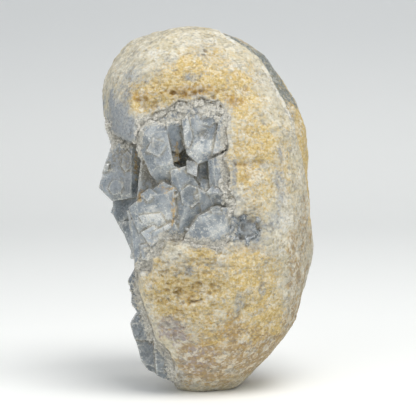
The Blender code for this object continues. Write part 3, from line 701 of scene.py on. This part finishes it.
def celestite(name="cloudy_celestite"):
    """Cloudy grey-blue crystal: see-through, with veils, cracks, worn pale edges, stains, and painted
    shade on its dark and brown parts.
    """
    s = Shader(name)
    veil = s.noise(6.0, 6.0, 0.62, 1.2)
    dust = s.noise(1.1, 4.0, 0.7)
    fine = s.noise(0.6, 3.0, 0.65)
    streak = s.noise(3.5, 5.0, 0.65, 0.4, s.stretched((1.0, 1.0, 0.22), (0.4, 0.5, 0.0)))
    bent = s.bent(1.5, 6.0)
    cracks = s.math("MAXIMUM", s.cracks(9.0, 0.45, bent), s.times(s.cracks(4.5, 0.3, bent), 0.5))
    cracks = s.times(cracks, s.step(veil, 0.4, 0.8))
    s.color = s.mix(s.value("facet"), srgb(160, 171, 180), srgb(196, 204, 210))
    s.paint(s.step(veil, 0.0, 0.5, 0.5, 0.0), srgb(130, 144, 157))
    s.paint(s.step(veil, 0.45, 1.0, 0.0, 0.6), srgb(218, 222, 222))
    s.paint(s.step(streak, 0.5, 1.0, 0.0, 0.5), srgb(224, 228, 229))
    # Painted shade and the crystals' own darker tone.
    s.paint(s.share("dark_tone_and_shade", veil, 0.8), srgb(126, 135, 141))
    # Brown-grey tone with painted shade in the deep recesses.
    s.paint(s.share("brown_tone_and_recess_shade", dust, 0.85), s.mix(fine, srgb(126, 120, 104), srgb(182, 176, 160)))
    s.paint(s.share("white", dust, 0.85), srgb(234, 235, 231))
    s.paint(s.times(cracks, 0.6), srgb(238, 236, 226))
    s.paint(s.step(fine, 0.7, 1.0, 0.0, 0.28), srgb(232, 232, 226))
    edge = s.times(s.value("edge"), s.step(dust, 0.2, 0.8, 0.3, 0.95))
    s.paint(edge, srgb(238, 238, 231))
    # Brown stain in the crystals' crevices.
    s.paint(s.times(s.value("crevice_shade_and_stain"), 0.42), srgb(182, 164, 120))
    s.paint(s.share("stain", dust, 0.85), srgb(204, 170, 106))
    rock = s.share("rock", dust)
    s.paint(rock, s.mix(fine, srgb(142, 141, 134), srgb(208, 204, 193)))
    cloudy = s.math("MAXIMUM", rock, s.times(s.value("white"), 0.6))
    clear = s.step(s.math("MAXIMUM", cloudy, s.times(veil, 0.35)), 0.0, 1.0, 0.55, 0.0)
    height = s.math("MULTIPLY_ADD", dust, s.step(rock, 0.0, 1.0, 0.25, 4.0), streak)
    s.dial(
        s.principled,
        Base_Color=s.color,
        Roughness=s.math("MAXIMUM", s.step(dust, 0.0, 1.0, 0.08, 0.3), s.times(rock, 0.9)),
        Transmission_Weight=clear,
        Normal=s.bump(height, 0.1, 0.45),
        IOR=1.62,
        Subsurface_Weight=0.8,
        Subsurface_Radius=(1.0, 1.05, 1.12),
        Subsurface_Scale=3.0 * MM,
    )
    absorb = s.dial(s.node("ShaderNodeVolumeAbsorption"), Color=srgb(200, 209, 217), Density=25.0)
    s.feed(s.tree.nodes["Material Output"].inputs["Volume"], absorb.outputs[0])
    return s.material


# The rind


def stations(height, table):
    """The values of a table of heights and values, at heights in millimetres."""
    heights, values = zip(*table)
    return np.interp(height, heights, values)


def before_seam(points):
    """How far each point lies in front of the raised edge on the right, in radians."""
    x, y, z = (points / MM).T
    across = (x - stations(z, AXIS_X)) / stations(z, RIGHT_REACH)
    away = -y / FRONT_REACH
    across, away = (np.copysign(np.abs(part) ** SECTION_POWER, part) for part in (across, away))
    return np.arctan2(away, across) - np.radians(stations(z, SEAM_STATIONS))


def fold_fields(points, normals, average, reach, least=0.03, most=0.3):
    """How far each point stands out of, or lies in, a fold: edges and crevices from 0 to 1."""
    flat = smoothed(points, average, reach, np.full(len(points), 0.5))
    stands_out = np.einsum("ij,ij->i", points - flat, normals) / MM
    return ease(least, most, stands_out), ease(least, most, -stands_out)


def near_seam(points, low, high):
    """1 beside the raised edge on the right, fading out from low to high radians off it."""
    x, _, z = (points / MM).T
    return ease(high, low, np.abs(before_seam(points))) * ease(60.0, 72.0, z) * ease(-24.0, 4.0, x)


def from_shape(place):
    """How far out a place lies from the middle of the nodule, 1 being its skin."""
    return np.linalg.norm((np.array(place) - EGG_CENTRE) / EGG_RADII, axis=-1)


def outer_surface(place, trees):
    """The outermost surface point over a place, the way out there, and how deep it lies."""
    outward = Vector((np.array(place) - EGG_CENTRE) / EGG_RADII**2).normalized()
    reach = 10.0
    start = place + outward * reach * MM
    hits = [tree.ray_cast(start, -outward, 2.0 * reach * MM) for tree in trees]
    hits = [hit for hit in hits if hit[0] is not None]
    if not hits:
        return None, outward, 0.0
    found = min(hits, key=lambda hit: hit[3])
    return found[0], outward, found[3] - reach * MM


def rim_crumbs(mesh, rind_tree, crust_tree):
    """Crumbs of rock along the rind's broken edges, sunk in the rock and in the crystals."""
    rng = random.Random(9)
    source = opened(mesh)
    crumbs = bmesh.new()
    for edge in source.edges:
        if len(edge.link_faces) != 2 or edge.calc_face_angle(0.0) < CRUMB_EDGE:
            continue
        start, end = (vertex.co for vertex in edge.verts)
        middle = (start + end) / 2.0
        window = middle.y < -20.0 * MM
        if middle.y > -6.0 * MM or not 12.0 * MM < middle.z < 115.0 * MM:
            continue
        if crust_tree.find_nearest(middle, 1.5 * MM)[0] is None or from_shape(middle) < 0.9:
            continue
        step, stray = CRUMB_STEPS_WINDOW if window else CRUMB_STEPS
        for _ in range(max(1, round(edge.calc_length() / (step * MM)))):
            moved = Vector([rng.gauss(0.0, stray) for _ in range(3)]) * MM
            over = start.lerp(end, rng.random()) + moved
            place, outward, depth = outer_surface(over, (rind_tree, crust_tree))
            radius = max(rng.uniform(*CRUMB_RADII) * MM, 0.5 * depth)
            if place is None or depth > CRUMB_DEEPEST or from_shape(place) > 1.02:
                continue
            uneven_lump(crumbs, place - outward * radius * CRUMB_SUNK, radius, rng)
    source.free()
    return crumbs


def uneven_lump(shape, place, radius, rng):
    """Adds a small lump with uneven corners to a bmesh."""
    for vertex in bmesh.ops.create_icosphere(shape, subdivisions=1, radius=radius)["verts"]:
        vertex.co = place + vertex.co * rng.uniform(0.7, 1.1)


def rind_fields(points, outward):
    """The tones of the rind: soft patches on the front, clouds of them all round, and painted shade and
    highlight by the raised edge.
    """
    fields = {name: patches(points, spots) for name, spots in RIND_PATCHES.items()}
    x, y, z = (points / MM).T
    behind = ease(-10.0, 10.0, y)
    clouds = lumps(points, 26.0, 4, 5.0)
    other = lumps(points, 20.0, 4, 11.0)
    before = before_seam(points)
    # Painted shade: past the raised edge on the right the rock is darker, in ochre, tan and blue-grey,
    # darkest in the groove at the top.
    past_seam = ease(0.0, -0.08, before) * ease(48.0, 62.0, z) * ease(-24.0, 4.0, x)
    fields["groove"] = past_seam * ease(-0.8, -0.4, before) * ease(98.0, 112.0, z)
    # Painted highlight along the raised edge itself.
    seam_highlight = near_seam(points, 0.03, 0.12) * ease(-0.04, 0.0, before) * ease(-0.5, 0.3, other)
    for name, values in (
        ("ochre", behind * ease(-0.1, 0.6, clouds) * 0.8),
        # Painted shade past the raised edge, in ochre.
        ("ochre", past_seam * ease(126.0, 112.0, z) * ease(52.0, 72.0, z) * ease(-0.6, 0.1, clouds)),
        ("rust", behind * ease(0.3, 0.9, clouds + 0.3 * other) * 0.5),
        ("slate", behind * ease(0.1, 0.7, other) * 0.75),
        # Painted highlight along the raised edge, in the chalk tone.
        ("chalk", seam_highlight * ease(80.0, 112.0, z)),
        # Painted shade past the raised edge, in tan and blue-grey.
        ("tan", 0.5 * past_seam),
        ("slate", past_seam * ease(90.0, 60.0, z) * ease(-0.2, 0.6, other) * 0.5),
        ("tan", behind * ease(40.0, 8.0, z + 10.0 * clouds) * 0.9),
        ("tan", behind * ease(0.1, 0.6, -clouds) * 0.5),
        ("chalk", behind * ease(0.0, 0.6, -other) * 0.7),
        ("mauve", behind * ease(0.3, 0.8, -clouds - other) * 0.7),
        ("rough", behind * ease(0.1, 0.6, clouds) * 0.7),
        ("rough", 1.0 - outward),
        ("rough", 0.3 * ease(-38.0, -26.0, x) * ease(10.0, 26.0, z)),
    ):
        fields[name] = np.maximum(fields[name], values)
    return fields


def line_distance(x, z, start, end):
    """The distance from each point on the front to a line between two places."""
    run = np.array(end) - np.array(start)
    along = ((x - start[0]) * run[0] + (z - start[1]) * run[1]) / (run @ run)
    along = np.clip(along, 0.0, 1.0)
    return np.hypot(x - start[0] - along * run[0], z - start[1] - along * run[1])


def rind_relief(points, fields):
    """How far the weathered skin stands out from the CAD surface, in millimetres."""
    x, y, z = (points / MM).T
    front = ease(0.0, -14.0, y)
    relief = np.zeros(len(points))
    for kind, size, octaves, seed, stretch, smooth, rough in SKIN_LAYERS:
        layer = lumps(points, size, octaves, seed, stretch)
        if kind == "folds":
            layer = -np.abs(layer)
        elif kind == "pores":
            layer = -ease(0.4, 0.7, layer)
        relief += layer * (smooth + rough * fields["rough"])
    wander = lumps(points, 3.0, 3, 6.0) * 0.7
    for pit_x, pit_z, radius, depth in PITS:
        away = np.hypot(x - pit_x, z - pit_z) + wander
        relief -= front * depth * ease(radius * 1.4, radius * 0.3, away)
    for start, end, half, depth in CRACKS:
        away = line_distance(x, z + wander, start, end) + np.abs(wander) * 0.6
        relief -= front * depth * ease(half * 1.7, 0.0, away)
    vug_x, vug_z, half_width, half_height, depth = VUG
    away = np.hypot((x - vug_x) / half_width, (z - vug_z) / half_height)
    away += lumps(points, 5.0, 3, 8.0) * 0.4
    relief -= front * depth * ease(1.15, 0.5, away)
    return relief


def build_rind(rind_tree, crust_tree):
    """The rind: even faces, smoothed facets, weathered relief, grown onto the crystals."""
    rind = loose_copy("limestone_rind", "rind_shape")
    crumbs = rim_crumbs(rind.data, rind_tree, crust_tree)
    crumbs.from_mesh(rind.data)
    closed(crumbs, rind.data)
    mesh = remesh(rind, RIND_VOXEL)
    points = vertex_array(mesh)
    normals = vertex_array(mesh, "normal")
    radial = (points - EGG_CENTRE) / EGG_RADII**2
    radial /= np.linalg.norm(radial, axis=1)[:, None]
    outward = ease(*OUTER_SKIN, np.einsum("ij,ij->i", radial, normals))
    average = neighbour_average(mesh)
    near, _, _ = distances(points, crust_tree, 9.0 * MM)
    away = ease(*BORDER_FADE, near)
    foot = ease(*FOOT_FADE, points[:, 2])
    even = outward * away * (1.0 - SEAM_KEPT * near_seam(points, 0.06, 0.2))
    points = smoothed(points, average, SMOOTHING_ROUNDS, 0.5 * even * foot)
    points = smoothed(points, average, SOFTENING_ROUNDS, 0.4 * foot)
    fields = rind_fields(points, outward)
    fields["halo"] = HALO_STRENGTH * (1.0 - ease(*HALO_REACH, near)) * (1.0 - fields["slate"])
    relief = rind_relief(points, fields) * foot
    inside = (1.0 - outward) * (1.0 - ease(1.0 * MM, 2.5 * MM, near))
    relief *= (1.0 - inside) * (0.5 + 0.5 * ease(0.0, 3.0 * MM, near))
    points += normals * (relief * MM)[:, None]
    near, nearest, _ = distances(points, crust_tree, 2.0 * MM)
    pull = ease(CONTACT_REACH, CONTACT_FULL, near)
    toward = nearest - points
    length = np.maximum(np.linalg.norm(toward, axis=1), 1e-7)
    points += toward * (pull * (1.0 + CONTACT_DEPTH / length))[:, None]
    points[:, 2] = np.maximum(points[:, 2], 0.0)
    set_vertices(mesh, points)
    normals = vertex_array(mesh, "normal")
    fields["edge"], fields["crevice_shade_and_stain"] = fold_fields(points, normals, average, 8)
    thin_out(rind, covered(near, average), MOST_TRIANGLES)
    return finish_piece(
        rind, "limestone_rind_skin", "limestone_rind", points, fields, limestone()
    )


def finish_piece(scratch, name, replaced, points, fields, material, angle=None):
    """Turns a scratch object into a finished piece with its fields and its material."""
    mesh = scratch.data
    bpy.data.objects.remove(scratch)
    mesh.name = name
    without_scraps(mesh)
    for field, values in carried(points, vertex_array(mesh), fields).items():
        store(mesh, field, values)
    mesh.materials.clear()
    mesh.materials.append(material)
    mesh.shade_smooth()
    if angle is not None:
        mesh.set_sharp_from_angle(angle=math.radians(angle))
    return new_piece(name, mesh, replaced)


# The crystals


def blocky_crystal(shape, place, axis, width, length, rng):
    """Adds a small chisel-tipped block to a bmesh, standing on a place along an axis."""
    made = bmesh.ops.create_cube(shape, size=1.0)["verts"]
    thickness = width * rng.uniform(0.5, 0.9)
    top = [vertex for vertex in made if vertex.co.z > 0.0]
    for vertex in made:
        vertex.co = Vector((vertex.co.x * width, vertex.co.y * thickness, (vertex.co.z + 0.5) * length))
    slope = rng.uniform(0.1, 0.45)
    lean = rng.uniform(-0.25, 0.25)
    for vertex in top:
        vertex.co.y *= slope
        vertex.co.x *= rng.uniform(0.55, 0.95)
        vertex.co.z += lean * vertex.co.x
    turn = Matrix.Rotation(rng.uniform(0.0, math.tau), 4, "Z")
    stand = axis.to_track_quat("Z", "X").to_matrix().to_4x4() @ turn
    bmesh.ops.transform(shape, matrix=Matrix.Translation(place) @ stand, verts=made)


def bare_place(place):
    """Whether small crystals stay off a place: the smooth front edges of the broken side."""
    x, y, z = place / MM
    return z < 10.0 or (y < -10.0 and x < -19.0 and (z < 74.0 or z > 86.0))


def valley_crystals(mesh, rind_tree):
    """Small crystals along the valleys between the large ones, as one bmesh."""
    rng = random.Random(5)
    source = opened(mesh)
    source.normal_update()
    grown = bmesh.new()
    for edge in source.edges:
        if len(edge.link_faces) != 2 or edge.calc_length() < VALLEY_LENGTH:
            continue
        if edge.calc_face_angle_signed(0.0) > VALLEY_TURN:
            continue
        between = (edge.link_faces[0].normal + edge.link_faces[1].normal).normalized()
        start, end = (vertex.co for vertex in edge.verts)
        for _ in range(max(1, round(edge.calc_length() / VALLEY_STEP))):
            place = start.lerp(end, rng.random())
            window = place.y < -24.0 * MM
            width = rng.uniform(*(VALLEY_WIDTHS_WINDOW if window else VALLEY_WIDTHS)) * MM
            tilt = Vector([rng.uniform(-0.5, 0.5) for _ in range(3)])
            axis = (between + tilt).normalized()
            length = width * rng.uniform(0.9, 1.5)
            skipped = VALLEY_SKIPPED_WINDOW if window else VALLEY_SKIPPED
            if rng.random() < skipped or rind_tree.find_nearest(place, VALLEY_MARGIN)[0] is not None:
                continue
            if not bare_place(place) and from_shape(place + axis * length) < 0.94:
                blocky_crystal(grown, place - axis * width * 0.35, axis, width, length, rng)
    source.free()
    return grown


def facet_tones(shape):
    """A random tone for each flat facet of a bmesh, the same for all the faces in its plane."""
    tones = []
    for face in shape.faces:
        offset = face.normal.dot(face.verts[0].co) / (2.0 * MM)
        key = [round(12.0 * part) for part in face.normal] + [round(offset)]
        tones.append(random.Random(str(key)).random())
    return np.array(tones)


def ridge_points(shape):
    """A tree of points close together along every sharp edge of a bmesh."""
    places = []
    for edge in shape.edges:
        if len(edge.link_faces) == 2 and edge.calc_face_angle(0.0) > RIDGE_TURN:
            start, end = (vertex.co for vertex in edge.verts)
            steps = max(1, round(edge.calc_length() / RIDGE_STEP))
            places += [start.lerp(end, step / steps) for step in range(steps + 1)]
    return point_tree(places)


def crisp(points, nearest, ridges):
    """The points moved back onto flat facets and straight edges, which even faces round off."""
    moved = nearest.copy()
    for index, point in enumerate(points.tolist()):
        place, _, distance = ridges.find(point)
        if distance < RIDGE_REACH:
            moved[index] = place
    return moved


def faceted_block(shape, outline, reach, point, normal):
    """Adds a crystal to a bmesh: an outline on the front, drawn back and cut by a plane."""
    front, back = reach
    block = bmesh.new()
    face = block.faces.new([block.verts.new(Vector((x, front, z)) * MM) for x, z in outline])
    drawn = bmesh.ops.extrude_face_region(block, geom=[face])["geom"]
    moved = [item for item in drawn if isinstance(item, bmesh.types.BMVert)]
    bmesh.ops.translate(block, verts=moved, vec=Vector((0.0, back - front, 0.0)) * MM)
    cut = bmesh.ops.bisect_plane(
        block,
        geom=block.verts[:] + block.edges[:] + block.faces[:],
        plane_co=Vector(point) * MM,
        plane_no=Vector(normal),
        clear_outer=True,
    )["geom_cut"]
    bmesh.ops.edgeloop_fill(block, edges=[item for item in cut if isinstance(item, bmesh.types.BMEdge)])
    bmesh.ops.recalc_face_normals(block, faces=block.faces)
    scratch = closed(block, bpy.data.meshes.new("block"))
    shape.from_mesh(scratch)
    bpy.data.meshes.remove(scratch)


def cleavage_plates(shape, mesh, rind_tree):
    """Adds thin plates to a bmesh that lie almost flat on the large faces of a mesh."""
    rng = random.Random(23)
    surface = surface_tree(mesh)
    source = opened(mesh)
    for face in source.faces:
        middle = face.calc_center_median()
        seen = face.normal.y < -0.35 or face.normal.x < -0.35
        if not seen or from_shape(middle) > 1.01 or bare_place(middle):
            continue
        expected = face.calc_area() / PLATE_SPACE
        for _ in range(int(expected + rng.random())):
            weights = np.array([rng.random() + 0.05 for _ in face.verts])
            weights /= weights.sum()
            place = sum((vertex.co * weight for vertex, weight in zip(face.verts, weights)), Vector())
            tilt = Vector([rng.uniform(-0.05, 0.05) for _ in range(3)])
            if rind_tree.find_nearest(place, PLATE_MARGIN)[0] is None:
                flat_plate(shape, surface, place, (face.normal + tilt).normalized(), rng)
    source.free()


def flat_plate(shape, surface, place, normal, rng):
    """Adds a thin plate to a bmesh, mostly sunk in the face that it lies on, if it fits there."""
    sides = rng.choice((4, 5, 6))
    size = rng.uniform(*PLATE_RADII) * MM
    made = bmesh.ops.create_cone(
        shape, cap_ends=True, segments=sides, radius1=size, radius2=size * 0.92, depth=PLATE_THICKNESS
    )["verts"]
    stretch = rng.uniform(0.5, 1.0)
    for vertex in made:
        vertex.co.x *= stretch
    turn = Matrix.Rotation(rng.uniform(0.0, math.tau), 4, "Z")
    stand = normal.to_track_quat("Z", "X").to_matrix().to_4x4() @ turn
    sunk = rng.uniform(*PLATE_SUNK) * MM
    bmesh.ops.transform(shape, matrix=Matrix.Translation(place - normal * sunk) @ stand, verts=made)
    if any(surface.find_nearest(vertex.co, PLATE_REACH)[0] is None for vertex in made):
        bmesh.ops.delete(shape, geom=made, context="VERTS")


def cleavage(points):
    """Flat flaky steps, as on a broken crystal, from -1 to 1."""
    warp = np.stack([lumps(points, 9.0, 2, seed) for seed in (1.0, 2.5, 4.0)], 1) * 1.2 * MM
    turned = (points + warp) @ np.array(Matrix.Rotation(0.7, 3, Vector((1.0, 2.0, 0.6))))
    cells = turned / (np.array((7.0, 3.0, 10.0)) * MM)
    return np.array([noise.cell(cell) for cell in cells.tolist()])


def build_crystals(rind_tree):
    """The crust with small crystals grown in its valleys, flaky faces and worn edges."""
    crust = loose_copy("celestite_crust", "crust_shape")
    grown = valley_crystals(crust.data, rind_tree)
    cleavage_plates(grown, crust.data, rind_tree)
    for crystal in ADDED_CRYSTALS.values():
        faceted_block(grown, *crystal)
    grown.from_mesh(crust.data)
    grown.normal_update()
    grown.faces.ensure_lookup_table()
    tones = facet_tones(grown)
    surface = BVHTree.FromBMesh(grown)
    ridges = ridge_points(grown)
    closed(grown, crust.data)
    mesh = remesh(crust, CRUST_VOXEL)
    points = vertex_array(mesh)
    _, nearest, faces = distances(points, surface, 1.0 * MM)
    facet = tones[faces]
    points = crisp(points, nearest, ridges)
    set_vertices(mesh, points)
    normals = vertex_array(mesh, "normal")
    average = neighbour_average(mesh)
    edge, _ = fold_fields(points, normals, average, 6)
    near, _, _ = distances(points, rind_tree, 5.0 * MM)
    free = ease(0.6 * MM, 1.6 * MM, near)
    fields = {name: patches(points, spots) for name, spots in CRYSTAL_PATCHES.items()}
    fields["rock"] = np.maximum(fields["rock"], ease(5.0 * MM, 1.0 * MM, near))
    relief = 0.04 * cleavage(points) - edge * ease(0.0, 0.5, lumps(points, 2.4, 3, 5.0)) * 0.16
    relief += lumps(points, 7.0, 2, 3.0) * 0.14
    relief += lumps(points, 1.8, 4, 7.0) * 0.5 * fields["rock"]
    points += normals * (relief * free * MM)[:, None]
    set_vertices(mesh, points)
    normals = vertex_array(mesh, "normal")
    fields["facet"] = facet
    # The brown painted shade keeps to the deeper parts, away from the front.
    fields["brown_tone_and_recess_shade"] *= ease(-33.0 * MM, -30.0 * MM, points[:, 1])
    fields["edge"], fields["crevice_shade_and_stain"] = fold_fields(points, normals, average, 6, 0.012, 0.09)
    thin_out(crust, covered(near, average), MOST_TRIANGLES)
    return finish_piece(
        crust, "celestite_crystals", "celestite_crust", points, fields, celestite(), 28.0
    )


def scattered_crystals(rind, crust_tree):
    """Small crystals in the vug, and grains along the border of the rock and the crystals."""
    rng = random.Random(17)
    surface = surface_tree(rind.data)
    shape = bmesh.new()
    vug_x, vug_z, half_width, half_height, _ = VUG
    for _ in range(VUG_CRYSTALS):
        turn, reach = rng.uniform(0.0, math.tau), math.sqrt(rng.random())
        x = vug_x + reach * half_width * math.cos(turn)
        z = vug_z + reach * half_height * math.sin(turn)
        place, normal, _, _ = surface.ray_cast(Vector((x, -60.0, z)) * MM, Vector((0.0, 1.0, 0.0)))
        grow_on(shape, place, normal, rng.uniform(*VUG_WIDTHS) * MM, rng)
    for vertex in rng.sample(list(rind.data.vertices), BORDER_TRIES):
        place = vertex.co
        if place.y > -15.0 * MM or crust_tree.find_nearest(place, BORDER_REACH)[0] is None:
            continue
        if from_shape(place) < 0.86 or not BORDER_HEIGHTS[0] < place.z < BORDER_HEIGHTS[1]:
            continue
        uneven_lump(shape, place, rng.uniform(*BORDER_RADII) * MM, rng)
    scratch = linked("small_shape", closed(shape, bpy.data.meshes.new("small_crystals")))
    remesh(scratch, SMALL_VOXEL)
    points = vertex_array(scratch.data)
    in_vug = ease(8.0, 5.0, np.hypot(points[:, 0] / MM - vug_x, points[:, 2] / MM - vug_z))
    fields = {name: np.zeros(len(points)) for name in ("white", "stain", "brown_tone_and_recess_shade")}
    fields["facet"] = 0.5 + 0.5 * lumps(points, 2.5, 1, 3.0)
    fields["dark_tone_and_shade"] = 0.45 * in_vug
    fields["rock"] = 1.0 - 0.75 * in_vug
    average = neighbour_average(scratch.data)
    normals = vertex_array(scratch.data, "normal")
    fields["edge"], fields["crevice_shade_and_stain"] = fold_fields(points, normals, average, 4)
    material = celestite("small_celestite")
    return finish_piece(scratch, "small_crystals", None, points, fields, material, 28.0)


def grow_on(shape, place, normal, width, rng):
    """Adds a small crystal to a bmesh, half sunk in a surface and leaning out of it."""
    tilt = Vector([rng.uniform(-0.7, 0.7) for _ in range(3)])
    axis = (normal + tilt).normalized()
    blocky_crystal(shape, place - axis * width * 0.75, axis, width, width * rng.uniform(1.0, 1.4), rng)


# The studio


def add_camera():
    """The camera, in front of the geode and a little above it."""
    data = bpy.data.cameras.new("camera")
    data.lens = CAMERA_LENS
    data.sensor_width = 36.0
    data.clip_start = 0.01
    camera = linked("camera", data)
    away = Vector((0.0, -math.cos(CAMERA_ELEVATION), math.sin(CAMERA_ELEVATION)))
    camera.location = CAMERA_TARGET + away * CAMERA_DISTANCE
    camera.rotation_euler = (math.pi / 2.0 - CAMERA_ELEVATION, 0.0, 0.0)
    bpy.context.scene.camera = camera


def add_lights():
    """A dim even sky, and soft square lights that face their targets."""
    world = bpy.data.worlds.new("studio")
    bpy.context.scene.world = world
    world.use_nodes = True
    background = world.node_tree.nodes["Background"]
    background.inputs["Color"].default_value = SKY_COLOR
    background.inputs["Strength"].default_value = SKY_STRENGTH
    for name, place, size, power, color, target in LIGHTS:
        data = bpy.data.lights.new(name, "AREA")
        data.size = size
        data.energy = power
        data.color = color
        light = linked(name, data)
        light.location = place
        light.rotation_euler = (Vector(target) - Vector(place)).to_track_quat("-Z", "Y").to_euler()


def add_backdrop():
    """A pale floor that sweeps up into a wall behind the geode."""
    shape = bmesh.new()
    bmesh.ops.create_grid(shape, x_segments=2, y_segments=60, size=1.0)
    radius = BACKDROP_RADIUS
    for vertex in shape.verts:
        run = BACKDROP_START + (vertex.co.y + 1.0) / 2.0 * BACKDROP_LENGTH
        turn = min(max((run - BACKDROP_TURN) / radius, 0.0), math.pi / 2.0)
        wall = max(run - BACKDROP_TURN - radius * math.pi / 2.0, 0.0)
        depth = min(run, BACKDROP_TURN) + radius * math.sin(turn)
        height = radius * (1.0 - math.cos(turn)) + wall
        vertex.co = Vector((vertex.co.x * BACKDROP_HALF_WIDTH, depth, height))
    mesh = closed(shape, bpy.data.meshes.new("backdrop"))
    mesh.shade_smooth()
    mesh.materials.append(paper())
    linked("backdrop", mesh)


def paper():
    """Pale paper with painted shade, a little darker upwards."""
    s = Shader("pale_paper")
    parts = s.node("ShaderNodeSeparateXYZ")
    s.feed(parts.inputs[0], s.place)
    # Painted shade: the paper darker upwards.
    upward = s.step(parts.outputs["Z"], *BACKDROP_SHADE_HEIGHTS)
    color = s.mix(upward, srgb(250, 251, 249), srgb(226, 228, 228))
    s.dial(s.principled, Base_Color=color, Roughness=0.9)
    return s.material


def main():
    add_camera()
    add_lights()
    add_backdrop()
    bpy.context.scene.view_settings.view_transform = "Standard"
    rind_tree = cad_tree("limestone_rind")
    crust_tree = cad_tree("celestite_crust")
    rind = build_rind(rind_tree, crust_tree)
    build_crystals(rind_tree)
    scattered_crystals(rind, crust_tree)


main()
